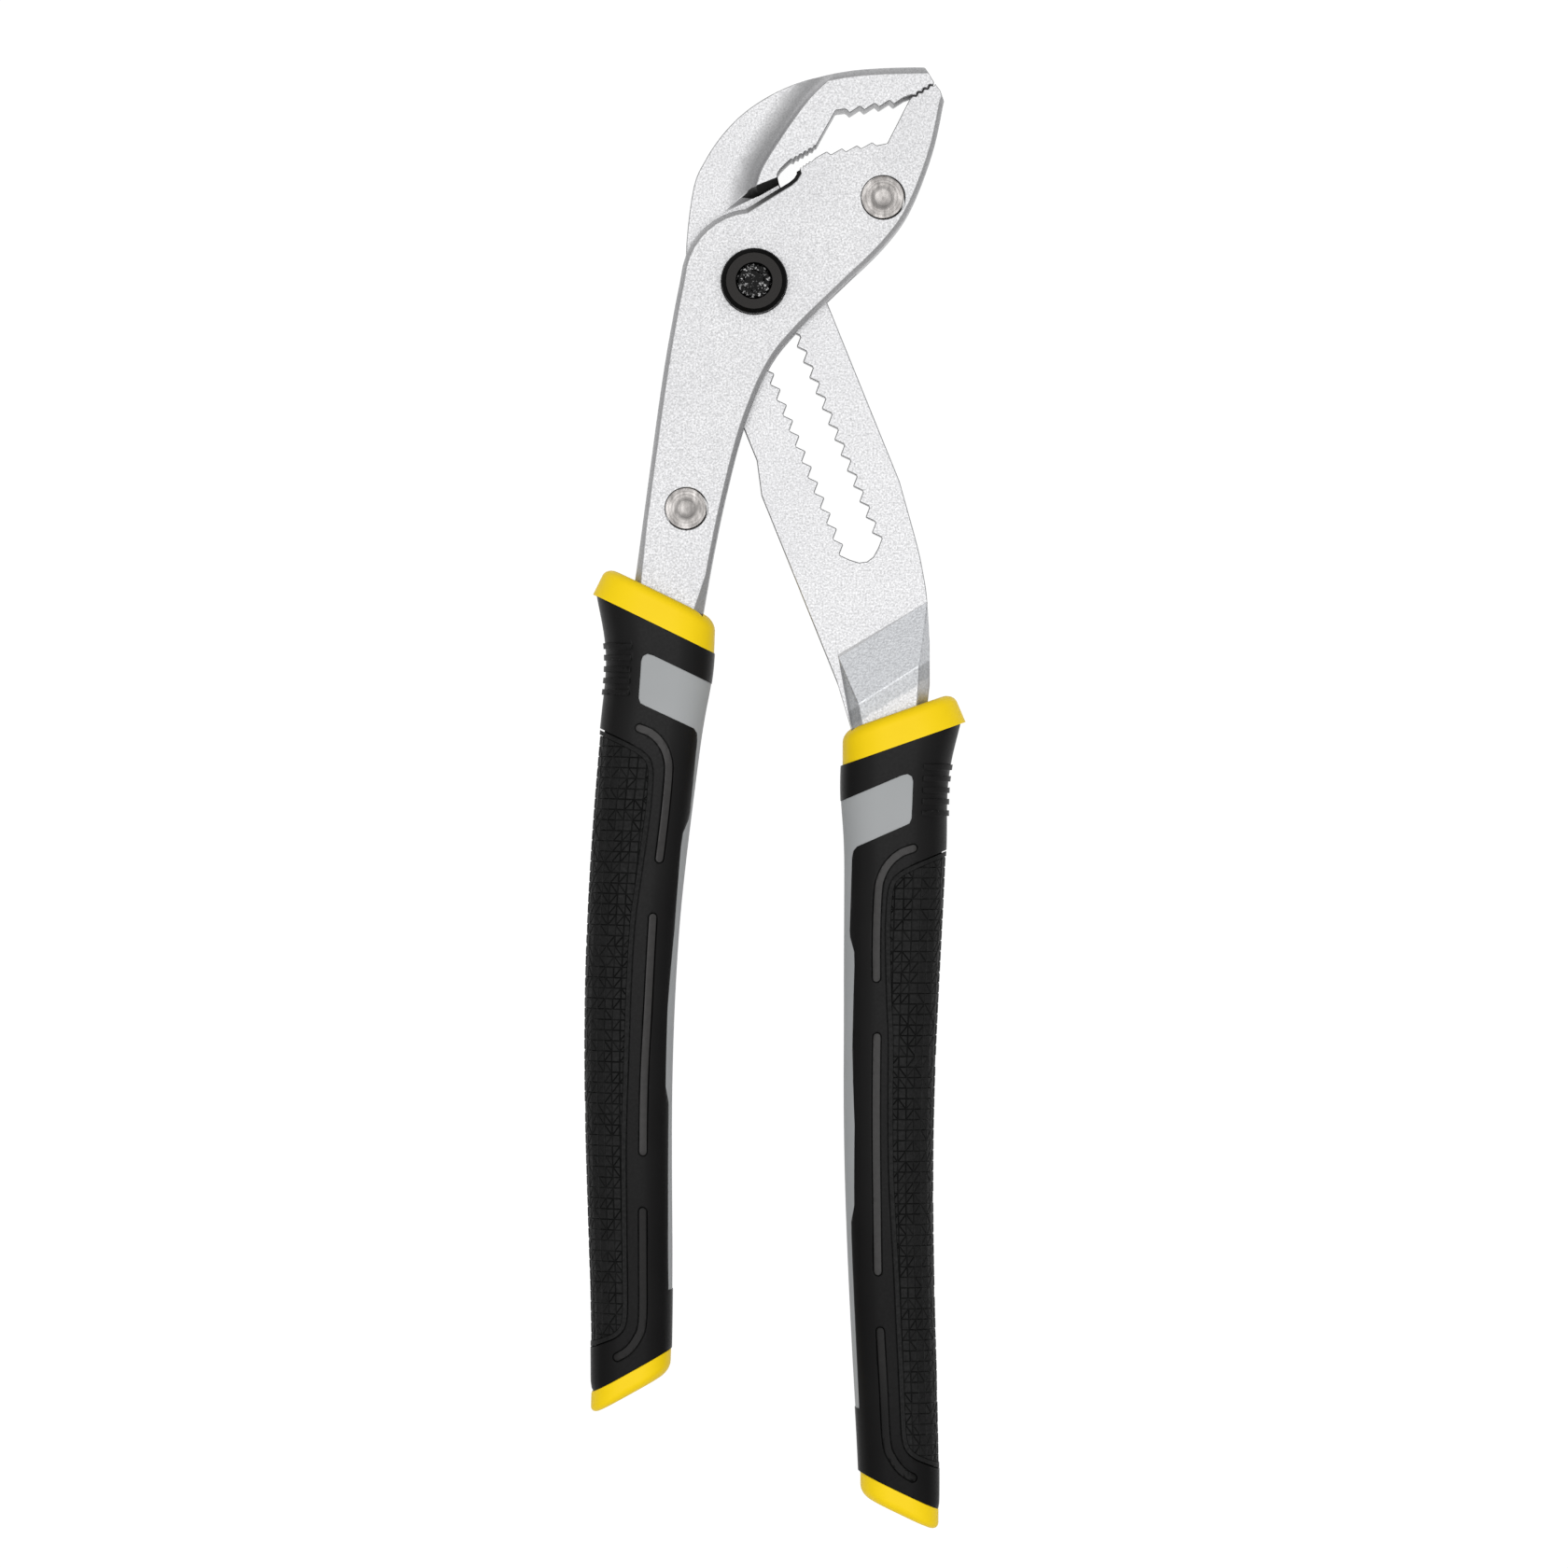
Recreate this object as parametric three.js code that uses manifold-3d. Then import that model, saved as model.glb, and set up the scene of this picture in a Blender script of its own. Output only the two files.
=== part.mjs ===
// Water pump pliers lying on their back: +X across the handles, +Y towards the jaws, +Z out of the front face.
// The origin is on the pivot axis, in the plane of the rear cheek's back face. Sizes are in millimetres.
import * as THREE from 'three';
import { mergeVertices } from 'three/addons/utils/BufferGeometryUtils.js';
import Module from 'manifold-3d';

const wasm = await Module();
wasm.setup();

// Head: the thin web of the jaw arm runs between two cheeks
const WEB_THICKNESS = 5;
const CHEEK_THICKNESS = 4;
const WEB_GAP = 0.2;
const CHEEK_SEAM = 0.1;
const CHEEK_BEVEL = 0.9;
const CHEEK_CORNER_RADIUS = 15;
const SHOULDER_GAP = 0.5;

// Toothed slot along the arm, through the pivot
const SLOT_LEAN = THREE.MathUtils.degToRad(22);
const TOOTH_PITCH = 3.43;
const TOOTH_DEPTH = 1.6;
const SLOT_HALF_WIDTH = 3.14;
const NOTCHES_BELOW_PIVOT = 17;
const NOTCHES_ABOVE_PIVOT = 1;
const SLOT_END_RISE = 1.7;

// Arm: distances of its edges from the slot's centre line
const ARM_RIGHT = 12.4;
const ARM_LEFT = 13.2;
const ARM_STEP = 1.8;
const ARM_STEP_START = 34;
const ARM_STEP_END = 41;
const JAW_BEVEL = 1.3;
const COVE_WIDTH = 6;
const RAMP_SLOPE = THREE.MathUtils.degToRad(17);
const TANG_HALF_THICKNESS = 5.6;
const TANG_BEVEL = 2.1;

// Swing of the handles, and the room it needs between the cheeks
const SWING = THREE.MathUtils.degToRad(36);
const SWING_GAP = 0.4;

// Pivot: toothed pin, push button with its screw, and the spring under it
const PIN_TOOTH_LENGTH = 2.6;
const PIN_GAP = 0.3;
const PIN_JOURNAL_RADIUS = 5.6;
const REAR_HEAD_THICKNESS = 1.2;
const BORE_GAP = 0.15;
const NECK_GAP = 0.2;
const BUTTON_RADIUS = 6.65;
const BUTTON_HEIGHT = 2.7;
const BUTTON_RIM = 0.85;
const BUTTON_POCKET_DEPTH = 2.2;
const BUTTON_POCKET_GAP = 0.25;
const BUTTON_STOP_GAP = 0.1;
const BUTTON_HUB_RADIUS = 4.2;
const BUTTON_SKIRT = 1.1;
const BUTTON_ROOF = 1.2;
const SCREW_RECESS_RADIUS = 3.67;
const SCREW_RECESS_DEPTH = 1.5;
const SCREW_HEAD_HEIGHT = 1.3;
const SCREW_SHANK_RADIUS = 1.5;
const SCREW_SHANK_LENGTH = 5;
const SCREW_GAP = 0.15;
const SOCKET_RADIUS = 2.3;
const SOCKET_DEPTH = 0.95;
const WASHER_THICKNESS = 0.4;
const SPRING_WIRE_RADIUS = 0.25;
const SPRING_TURNS = 2;
const SPRING_GAP = 0.08;

// Edges of the steel where it enters the collars: the end corner of the plate, and x per y along the edge
const SHANK_LEFT = { x: -24.7, y: -63.2, taper: 0.141 };
const SHANK_RIGHT = { x: -10.7, y: -69.5, taper: 0.177 };
const ARM_FOOT_LEFT = { x: 20.9, y: -95, taper: -0.298 };
const ARM_FOOT_RIGHT = { x: 35.5, y: -87, taper: 0.0515 };
const COLLAR_BORE_REACH = 16;

// Rivets of the outer half
const RIVET_GAP = 0.15;
const RIVET_DOME = 0.25;
const JAW_RIVET = { x: 26.4, y: 17.2, radius: 4.35 };
const SHANK_RIVET = { x: -13.9, y: -46.5, radius: 4.2 };

// Handles: place and turn of each grip, and the bow of its middle towards the inner side
const GRIP_LENGTH = 160;
const LEFT_GRIP = {
  name: 'left', x: -20.15, y: -67.5, turn: -1.88, bow: -2.6, flip: false, collarTilt: -24.1, capTilt: 30.9,
};
const RIGHT_GRIP = {
  name: 'right', x: 30.35, y: -92, turn: -0.2, bow: 2.6, flip: true, collarTilt: -19.5, capTilt: 25.5,
};

// Grip section along its length: s from the collar, reach to the outer and inner side, half thickness
const CAP_S = 155.7;
const GRIP_OVERRUN = 12.3;
const GRIP_SECTIONS = [
  { s: -8, outer: 13.4, inner: 12.2, half: 10 },
  { s: 0, outer: 11.9, inner: 12.4, half: 9.9 },
  { s: 6, outer: 10.2, inner: 12.6, half: 9.6 },
  { s: 13, outer: 9.7, inner: 12.6, half: 9.3 },
  { s: 22, outer: 10.1, inner: 11.4, half: 9 },
  { s: 40, outer: 10.2, inner: 10.5, half: 8.8 },
  { s: 62, outer: 10, inner: 9.6, half: 8.6 },
  { s: 97, outer: 9.45, inner: 9.1, half: 8.4 },
  { s: 131, outer: 8.85, inner: 8.85, half: 8.2 },
  { s: 150, outer: 8.5, inner: 8.5, half: 8 },
  { s: CAP_S + GRIP_OVERRUN, outer: 8.2, inner: 8.2, half: 7.8 },
];
const GRIP_SQUARENESS = 2.7;
const GRIP_BOW_SHARPNESS = 1.6;
const GRIP_RING_POINTS = 20;
const GRIP_RINGS = 18;
const COLLAR_OVERHANG = 1;
const COLLAR_LIP = 1.35;
const COLLAR_BULGE = 0.2;
const { outer: TOP_OUTER, inner: TOP_INNER, half: TOP_HALF } = GRIP_SECTIONS.find(({ s }) => s === 0);
const COLLAR = {
  s: 2.7,
  middle: (TOP_INNER - TOP_OUTER - COLLAR_LIP) / 2,
  width: (TOP_INNER + TOP_OUTER + COLLAR_LIP) / 2,
  half: TOP_HALF + COLLAR_BULGE,
  height: 6.9,
  round: 2.2,
  side: 1,
};
const CAP = { s: CAP_S, middle: 0, width: 8.1, half: 7.8, height: 4.75, round: 2, side: -1 };
const GRIP_GAP = 0.25;
const PAD_DEPTH = 1.6;
const INSERT_DEPTH = 1.5;
const INLAY_DEPTH = 1.1;
const INLAY_SINK = 0.2;
const INLAY_WIDTH = 1.45;
const RIDGE_COUNT = 5;
const RIDGE_START = 7.4;
const RIDGE_PITCH = 2.35;
const RIDGE_WIDTH = 1.1;
const RIDGE_HEIGHT = 0.45;
const RIDGE_REACH = 4.5;

// Tang inside each grip: s from the collar, offset of its middle, half width, half thickness
const TANG_SECTIONS = [
  { s: -4, middle: 2.7, width: 6.1, half: 5.2 },
  { s: 8, middle: 1.9, width: 5.8, half: 5 },
  { s: 24, middle: 0.5, width: 5.1, half: 4.7 },
  { s: 62, middle: 0, width: 4.7, half: 4.4 },
  { s: 138, middle: 0, width: 4.1, half: 4 },
];
const TANG_CHAMFER = 1.2;

// Levels and sizes that follow from the ones above, measured from the middle plane of the tool
const HALF_WEB = WEB_THICKNESS / 2;
const POCKET_HALF = HALF_WEB + WEB_GAP;
const HALF_HEAD = POCKET_HALF + CHEEK_THICKNESS;
const TRAVEL = PIN_TOOTH_LENGTH + WEB_GAP;
const NECK_RADIUS = SLOT_HALF_WIDTH - NECK_GAP;
const BUTTON_FLOOR = HALF_HEAD - BUTTON_POCKET_DEPTH;
const BUTTON_LOW = BUTTON_FLOOR + TRAVEL + BUTTON_STOP_GAP;
const BUTTON_TOP = BUTTON_LOW + BUTTON_HEIGHT;
const HUB_LOW = BUTTON_LOW + WASHER_THICKNESS + BUTTON_STOP_GAP;
const ROOF_LOW = BUTTON_TOP - BUTTON_ROOF;
const SKIRT_RADIUS = BUTTON_RADIUS - BUTTON_SKIRT;
const WIDE_ARM_LEFT = ARM_LEFT + ARM_STEP;
const FAR = 90;
const CURVE_STEPS = 4;
const ROUND_STEPS = 32;

function point(x, y) {
  return new THREE.Vector2(x, y);
}

function points(...pairs) {
  return pairs.map(([x, y]) => point(x, y));
}

// A place given by its distance to the right of the slot's centre line and its distance down that line
function onArm(right, down) {
  return point(right, -down).rotateAround(point(0, 0), SLOT_LEAN);
}

function polar(radius, angle) {
  return point(radius * Math.cos(angle), radius * Math.sin(angle));
}

// Closed three.js geometry into a solid, turned right side out
function solid(geometry) {
  const bare = new THREE.BufferGeometry();
  bare.setAttribute('position', geometry.getAttribute('position').clone());
  bare.setIndex(geometry.index);
  const merged = mergeVertices(bare, 1e-4);
  const place = merged.getAttribute('position');
  const index = merged.getIndex().array;
  const corners = [];
  const [a, b, c] = [new THREE.Vector3(), new THREE.Vector3(), new THREE.Vector3()];
  let volume = 0;
  for (let i = 0; i < index.length; i += 3) {
    const [p, q, r] = index.slice(i, i + 3);
    if (p !== q && q !== r && r !== p) {
      corners.push(p, q, r);
      a.fromBufferAttribute(place, p);
      b.fromBufferAttribute(place, q);
      c.fromBufferAttribute(place, r);
      volume += a.dot(b.cross(c));
    }
  }
  if (volume < 0) {
    corners.reverse();
  }
  const vertProperties = new Float32Array(place.array);
  const triVerts = new Uint32Array(corners);
  return new wasm.Manifold(new wasm.Mesh({ numProp: 3, vertProperties, triVerts }));
}

function piece(name, body, look) {
  const { vertProperties, triVerts } = body.getMesh();
  const geometry = new THREE.BufferGeometry();
  geometry.setAttribute('position', new THREE.BufferAttribute(vertProperties, 3));
  geometry.setIndex(new THREE.BufferAttribute(triVerts, 1));
  geometry.computeVertexNormals();
  const mesh = new THREE.Mesh(geometry, new THREE.MeshStandardMaterial(look));
  mesh.name = name;
  return mesh;
}

function outline(corners) {
  return new THREE.Shape(corners);
}

// Flat outline pushed from one level to another, grown sideways by a clearance if one is given
function prism(shape, low, high, grow = 0) {
  const skin = grow ? 0.01 : 0;
  const geometry = new THREE.ExtrudeGeometry(shape, {
    depth: high - low - 2 * skin,
    curveSegments: CURVE_STEPS,
    bevelEnabled: grow > 0,
    bevelThickness: skin,
    bevelSize: 0,
    bevelOffset: grow,
    bevelSegments: 1,
  });
  return solid(geometry.translate(0, 0, low + skin));
}

// Plate about the middle plane with its edges bevelled, or rounded where there are more steps
function bevelledPlate(shape, half, width, height = width, steps = 1) {
  const geometry = new THREE.ExtrudeGeometry(shape, {
    depth: 2 * (half - height),
    curveSegments: CURVE_STEPS,
    bevelEnabled: true,
    bevelThickness: height,
    bevelSize: width,
    bevelOffset: -width,
    bevelSegments: steps,
  });
  return solid(geometry.translate(0, 0, height - half));
}

function rod(radius, low, high, steps = ROUND_STEPS) {
  const geometry = new THREE.CylinderGeometry(radius, radius, high - low, steps);
  return solid(geometry.rotateX(Math.PI / 2).translate(0, 0, (low + high) / 2));
}

// Round piece about the pivot axis from a profile of radius and level pairs that starts and ends on the axis
function turned(...profile) {
  return solid(new THREE.LatheGeometry(points(...profile), ROUND_STEPS).rotateX(Math.PI / 2));
}

function box(lowX, highX, lowY, highY, lowZ, highZ) {
  const geometry = new THREE.BoxGeometry(highX - lowX, highY - lowY, highZ - lowZ);
  return solid(geometry.translate((lowX + highX) / 2, (lowY + highY) / 2, (lowZ + highZ) / 2));
}

const FRONT = box(-4 * FAR, 4 * FAR, -4 * FAR, 4 * FAR, CHEEK_SEAM / 2, FAR);
const REAR = box(-4 * FAR, 4 * FAR, -4 * FAR, 4 * FAR, -FAR, -CHEEK_SEAM / 2);

// Skin over a row of closed rings that have the same number of points
function loft(rings) {
  const count = rings[0].length;
  const places = rings.flat();
  const ends = [rings[0], rings[rings.length - 1]];
  const middles = ends.map((ring) => ring.reduce((sum, p) => sum.add(p), new THREE.Vector3()).divideScalar(count));
  const faces = [];
  for (let i = 0; i < count; i += 1) {
    const next = (i + 1) % count;
    for (let k = 0; k + 1 < rings.length; k += 1) {
      const [here, there] = [k * count, (k + 1) * count];
      faces.push(here + i, here + next, there + next, here + i, there + next, there + i);
    }
    const last = (rings.length - 1) * count;
    faces.push(places.length, next, i, places.length + 1, last + i, last + next);
  }
  const geometry = new THREE.BufferGeometry().setFromPoints([...places, ...middles]);
  geometry.setIndex(faces);
  return solid(geometry);
}

// Saw teeth along a root line: the crests stand to the left of it by the height, placed in each pitch by the lean
function teeth(from, to, count, height, lean) {
  const along = to.clone().sub(from);
  const up = point(-along.y, along.x).normalize();
  const row = [];
  for (let i = 0; i < count; i += 1) {
    row.push(from.clone().addScaledVector(along, (i + lean) / count).addScaledVector(up, height));
    row.push(from.clone().addScaledVector(along, (i + 1) / count));
  }
  return row;
}

function crossing(normalA, distanceA, normalB, distanceB) {
  const scale = normalA.x * normalB.y - normalA.y * normalB.x;
  const x = (distanceA * normalB.y - distanceB * normalA.y) / scale;
  const y = (normalA.x * distanceB - normalB.x * distanceA) / scale;
  return point(x, y);
}

// Jaw mouth. Both profiles run from the throat to the tip, and the tip teeth of the two jaws mesh
const TIP_GAP = 0.35;
const TIP_TEETH = 4;
const TIP_TOOTH_HEIGHT = 0.5;
const TIP_LINE = points([32.35, 38.05], [37.1, 40.95]);
const COARSE_TEETH = 4;
const THROAT = onArm(ARM_RIGHT, -17.9);
const CHEEK_THROAT = points([4.9, 18.95], [7.2, 20.35], [8.2, 21.2], [8.8, 22.2]);

function tipTeeth(shift) {
  const along = TIP_LINE[1].clone().sub(TIP_LINE[0]);
  const up = point(-along.y, along.x).normalize().multiplyScalar(shift);
  const [from, to] = TIP_LINE.map((p) => p.clone().add(up));
  return [from, ...teeth(from, to, TIP_TEETH, -TIP_TOOTH_HEIGHT, 0.5)];
}

function upperMouth() {
  const fine = points([7.5, 25], [12.3, 27.8]);
  const coarse = points([18.7, 35.25], [30.7, 37.65]);
  return [
    THROAT,
    ...points([4.85, 22.1], [5.4, 23]),
    fine[0],
    ...teeth(fine[0], fine[1], 5, -0.45, 0.4),
    ...points([12.7, 27.9], [16.65, 35]),
    coarse[0],
    ...teeth(coarse[0], coarse[1], COARSE_TEETH, -0.95, 0.22),
    ...tipTeeth(TIP_GAP / 2),
  ];
}

function lowerMouth() {
  const fine = points([9.3, 22.8], [11.7, 24.5]);
  const coarse = points([12.6, 25.35], [25, 27.85]);
  return [
    fine[0],
    ...teeth(fine[0], fine[1], 4, 0.35, 0.6),
    coarse[0],
    ...teeth(coarse[0], coarse[1], COARSE_TEETH, 0.8, 0.78),
    ...points([27.25, 28.3], [31.75, 37.15]),
    ...tipTeeth(-TIP_GAP / 2),
  ];
}

// Nose that both jaws are ground to, unbevelled
function noseCut() {
  const nose = points([34.2, 45.4], [35, 43.9], [36.9, 40.7], [38.1, 39.1], [39.1, 36.4]);
  return prism(outline([...nose, ...points([60, 36.4], [60, 45.4])]), -FAR, FAR);
}

// Outer half: cheeks with the lower jaw, joined at the jaw and at the shank, open between for the arm
function cheekOutline() {
  const shape = new THREE.Shape();
  shape.moveTo(SHANK_LEFT.x, SHANK_LEFT.y);
  shape.splineThru(points([-23.5, -54.7], [-20.9, -35], [-18.6, -18.8], [-16.6, -7.1], [-15.2, 0]));
  const start = Math.PI - 0.22;
  const end = THREE.MathUtils.degToRad(96);
  shape.absarc(0, 0, CHEEK_CORNER_RADIUS, start, end, true);
  for (const corner of [...CHEEK_THROAT, ...points([7.5, 26], [30, 46], [41, 46], [39.9, 40])]) {
    shape.lineTo(corner.x, corner.y);
  }
  shape.lineTo(38.75, 36.4);
  shape.splineThru(points(
    [37, 28], [34, 19.3], [31, 13.1], [27.4, 8.3], [23.4, 4.1], [18.8, -0.2], [8.4, -10.4], [2.8, -17.9],
    [-2, -29.5], [-5.5, -42.7], [-8.2, -55.4], [SHANK_RIGHT.x, SHANK_RIGHT.y],
  ));
  return shape;
}

function lowerMouthCut() {
  const { y } = CHEEK_THROAT[CHEEK_THROAT.length - 1];
  const profile = [...points([-FAR, y], [8, y]), ...lowerMouth(), ...points([45, 45.5], [FAR, FAR], [-FAR, FAR])];
  return prism(outline(profile), -FAR, FAR);
}

function armPocket() {
  const rest = polar(1, SLOT_LEAN);
  const swung = polar(1, SLOT_LEAN + SWING);
  const alongRest = polar(FAR, SLOT_LEAN - Math.PI / 2);
  const alongSwung = polar(FAR, SLOT_LEAN + SWING - Math.PI / 2);
  const right = ARM_RIGHT + SWING_GAP;
  const jawCorner = crossing(rest, right, swung, right);
  const shankCorner = crossing(rest, -WIDE_ARM_LEFT - SWING_GAP, swung, -ARM_LEFT - SWING_GAP);
  const profile = [
    jawCorner.clone().sub(alongRest),
    jawCorner,
    jawCorner.clone().add(alongSwung),
    point(2 * FAR, -2 * FAR),
    shankCorner.clone().add(alongRest),
    shankCorner,
    shankCorner.clone().sub(alongSwung),
    point(-2 * FAR, 2 * FAR),
  ];
  return prism(outline(profile), -POCKET_HALF, POCKET_HALF);
}

function rivet({ x, y, radius }) {
  const low = HALF_HEAD - RIVET_DOME;
  const rim = radius - 2 * RIVET_DOME;
  return turned([0, -HALF_HEAD], [rim, -HALF_HEAD], [radius, -low], [radius, low], [rim, HALF_HEAD], [0, HALF_HEAD])
    .translate([x, y, 0]);
}

function rivetBore({ x, y, radius }) {
  return rod(radius + RIVET_GAP, -FAR, FAR).translate([x, y, 0]);
}

function outerHalf() {
  return bevelledPlate(cheekOutline(), HALF_HEAD, CHEEK_BEVEL)
    .subtract(lowerMouthCut())
    .subtract(noseCut())
    .subtract(armPocket())
    .add(tang(LEFT_GRIP))
    .subtract(rivetBore(JAW_RIVET))
    .subtract(rivetBore(SHANK_RIVET));
}

function frontBores() {
  const pocket = rod(BUTTON_RADIUS + BUTTON_POCKET_GAP, BUTTON_FLOOR, FAR);
  return pocket.add(rod(NECK_RADIUS + BORE_GAP, 0, FAR));
}

function rearBores() {
  const headFloor = REAR_HEAD_THICKNESS + BUTTON_STOP_GAP - HALF_HEAD;
  const pocket = rod(BUTTON_RADIUS + BUTTON_POCKET_GAP, -FAR, headFloor);
  return pocket.add(rod(PIN_JOURNAL_RADIUS + BORE_GAP, -FAR, 0));
}

// Inner half: upper jaw, thin web with the toothed slot, ramp and tang
function armOutline() {
  const shape = new THREE.Shape();
  shape.moveTo(ARM_FOOT_LEFT.x, ARM_FOOT_LEFT.y);
  const leftEdge = [point(17.2, -82.6), onArm(-WIDE_ARM_LEFT, 66), onArm(-WIDE_ARM_LEFT, ARM_STEP_END)];
  const backStart = onArm(-ARM_LEFT, -3);
  for (const corner of [...leftEdge, onArm(-ARM_LEFT, ARM_STEP_START), backStart]) {
    shape.lineTo(corner.x, corner.y);
  }
  shape.splineThru(points(
    [-14, 6.5], [-12.5, 19.3], [-10, 25.2], [-6.4, 30.5], [-1.9, 35], [3.8, 38.7], [10.1, 41.3],
    [18.8, 43.1], [25.9, 43.75], [33, 43.95],
  ));
  const mouthSide = points([44, 44.15], [44, 38], [36, 33], [13, 19]);
  for (const corner of [...mouthSide, onArm(ARM_RIGHT, -13), onArm(ARM_RIGHT, 49)]) {
    shape.lineTo(corner.x, corner.y);
  }
  const foot = [ARM_FOOT_RIGHT.x, ARM_FOOT_RIGHT.y];
  shape.splineThru(points([33.4, -53.6], [34.7, -59.7], [35.5, -65.4], [36, -77.3], foot));
  return shape;
}

function upperMouthCut() {
  const below = [point(60, 42), point(60, 10), onArm(ARM_RIGHT + 8, -8), onArm(ARM_RIGHT, -8)];
  return prism(outline([...upperMouth(), ...below]), -FAR, FAR);
}

// The thick jaw ends at a shoulder that swings clear of the cheeks' round corner
function shoulderCut() {
  const shape = new THREE.Shape();
  const radius = CHEEK_CORNER_RADIUS + SHOULDER_GAP;
  shape.moveTo(-FAR, 0);
  shape.absarc(0, 0, radius, Math.PI, THREE.MathUtils.degToRad(117), true);
  for (const corner of [...points([-0.7, 19.1], [0.4, 19.5]), ...upperMouth()]) {
    shape.lineTo(corner.x, corner.y);
  }
  for (const corner of points([60, 42], [60, -2 * FAR], [-FAR, -2 * FAR])) {
    shape.lineTo(corner.x, corner.y);
  }
  return prism(shape, -FAR, FAR);
}

// Cove behind the jaw: steep at the ridge and flat where it runs out at web level
function cove() {
  const shape = new THREE.Shape();
  shape.moveTo(-10, -30);
  shape.lineTo(-0.9, 15);
  shape.splineThru(points([0.4, 19.8], [2.1, 24.2], [7.45, 32.4], [11.8, 38.1], [16, 42]));
  for (const corner of points([46, 66], [-FAR, 66], [-FAR, -30])) {
    shape.lineTo(corner.x, corner.y);
  }
  const rise = HALF_HEAD - HALF_WEB;
  return bevelledPlate(shape, FAR, COVE_WIDTH, rise, 5).translate([0, 0, FAR + HALF_WEB]);
}

function slot() {
  const peak = SLOT_HALF_WIDTH;
  const valley = SLOT_HALF_WIDTH + TOOTH_DEPTH;
  const first = -NOTCHES_ABOVE_PIVOT;
  const last = NOTCHES_BELOW_PIVOT;
  const right = [onArm(peak, (first - 0.5) * TOOTH_PITCH)];
  const left = [onArm(-peak, (first - 0.5) * TOOTH_PITCH)];
  for (let notch = first; notch <= last; notch += 1) {
    right.push(onArm(valley, notch * TOOTH_PITCH), onArm(peak, (notch + 0.5) * TOOTH_PITCH));
    left.push(onArm(-valley, notch * TOOTH_PITCH), onArm(-peak, (notch + 0.5) * TOOTH_PITCH));
  }
  const shape = outline(right);
  const foot = onArm(0, (last + 0.5) * TOOTH_PITCH + 2 * SLOT_END_RISE);
  const crown = onArm(0, (first - 0.5) * TOOTH_PITCH - 2 * SLOT_END_RISE);
  const back = left.reverse();
  shape.quadraticCurveTo(foot.x, foot.y, back[0].x, back[0].y);
  for (const corner of back.slice(1)) {
    shape.lineTo(corner.x, corner.y);
  }
  shape.quadraticCurveTo(crown.x, crown.y, right[0].x, right[0].y);
  return prism(shape, -FAR, FAR);
}

function tangOutline() {
  return outline(points(
    [21.5, -96], [20, -91.1], [17.2, -77], [16.2, -71], [34.4, -58], [35.5, -65.4],
    [35.85, -71], [36, -77.3], [35.8, -82.5], [35.3, -89],
  ));
}

// Everything above a slope that starts at web level on a line across the arm and climbs towards the grip
function rampCut() {
  const [from, to] = points([17.2, -77], [35.1, -65.7]);
  const across = new THREE.Vector3(to.x - from.x, to.y - from.y, 0).normalize();
  const back = new THREE.Vector3(-across.y, across.x, 0);
  const fall = back.clone().multiplyScalar(Math.cos(RAMP_SLOPE));
  fall.z = -Math.sin(RAMP_SLOPE);
  const normal = across.clone().cross(fall);
  const frame = new THREE.Matrix4().makeBasis(across, fall, normal);
  frame.setPosition((from.x + to.x) / 2, (from.y + to.y) / 2, HALF_WEB);
  const geometry = new THREE.BoxGeometry(FAR, FAR, FAR).translate(0, 0, FAR / 2);
  return solid(geometry.applyMatrix4(frame));
}

function bothFaces(cutter) {
  return cutter.add(cutter.mirror([0, 0, 1]));
}

function armForging() {
  const jaw = bevelledPlate(armOutline(), HALF_HEAD, JAW_BEVEL)
    .subtract(shoulderCut())
    .subtract(bothFaces(cove()));
  const web = prism(armOutline(), -HALF_WEB, HALF_WEB).subtract(upperMouthCut());
  const rise = TANG_HALF_THICKNESS - HALF_WEB;
  const shank = bevelledPlate(tangOutline(), TANG_HALF_THICKNESS, TANG_BEVEL, rise).subtract(bothFaces(rampCut()));
  return jaw.add(web).subtract(noseCut()).add(shank).add(tang(RIGHT_GRIP)).subtract(slot());
}

// Pivot pieces
function toothedPin() {
  const peak = SLOT_HALF_WIDTH - PIN_GAP;
  const valley = peak + TOOTH_DEPTH;
  const reach = NOTCHES_ABOVE_PIVOT;
  const right = [];
  const left = [];
  for (let lug = -reach; lug <= reach; lug += 1) {
    right.push(onArm(peak, (lug - 0.5) * TOOTH_PITCH), onArm(valley, lug * TOOTH_PITCH));
    left.push(onArm(-peak, (lug - 0.5) * TOOTH_PITCH), onArm(-valley, lug * TOOTH_PITCH));
  }
  right.push(onArm(peak, (reach + 0.5) * TOOTH_PITCH));
  left.push(onArm(-peak, (reach + 0.5) * TOOTH_PITCH));
  const lugs = prism(outline([...right, ...left.reverse()]), -POCKET_HALF, PIN_TOOTH_LENGTH - HALF_WEB)
    .intersect(rod(PIN_JOURNAL_RADIUS, -FAR, FAR));
  const headTop = REAR_HEAD_THICKNESS - HALF_HEAD;
  const core = turned(
    [0, -HALF_HEAD], [BUTTON_RADIUS, -HALF_HEAD], [BUTTON_RADIUS, headTop], [PIN_JOURNAL_RADIUS, headTop],
    [PIN_JOURNAL_RADIUS, -HALF_WEB], [NECK_RADIUS, -HALF_WEB], [NECK_RADIUS, HUB_LOW], [0, HUB_LOW],
  );
  const screwEnd = BUTTON_TOP - SCREW_RECESS_DEPTH - SCREW_SHANK_LENGTH;
  return core.add(lugs).subtract(rod(SCREW_SHANK_RADIUS + SCREW_GAP, screwEnd - SCREW_GAP, FAR));
}

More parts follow.
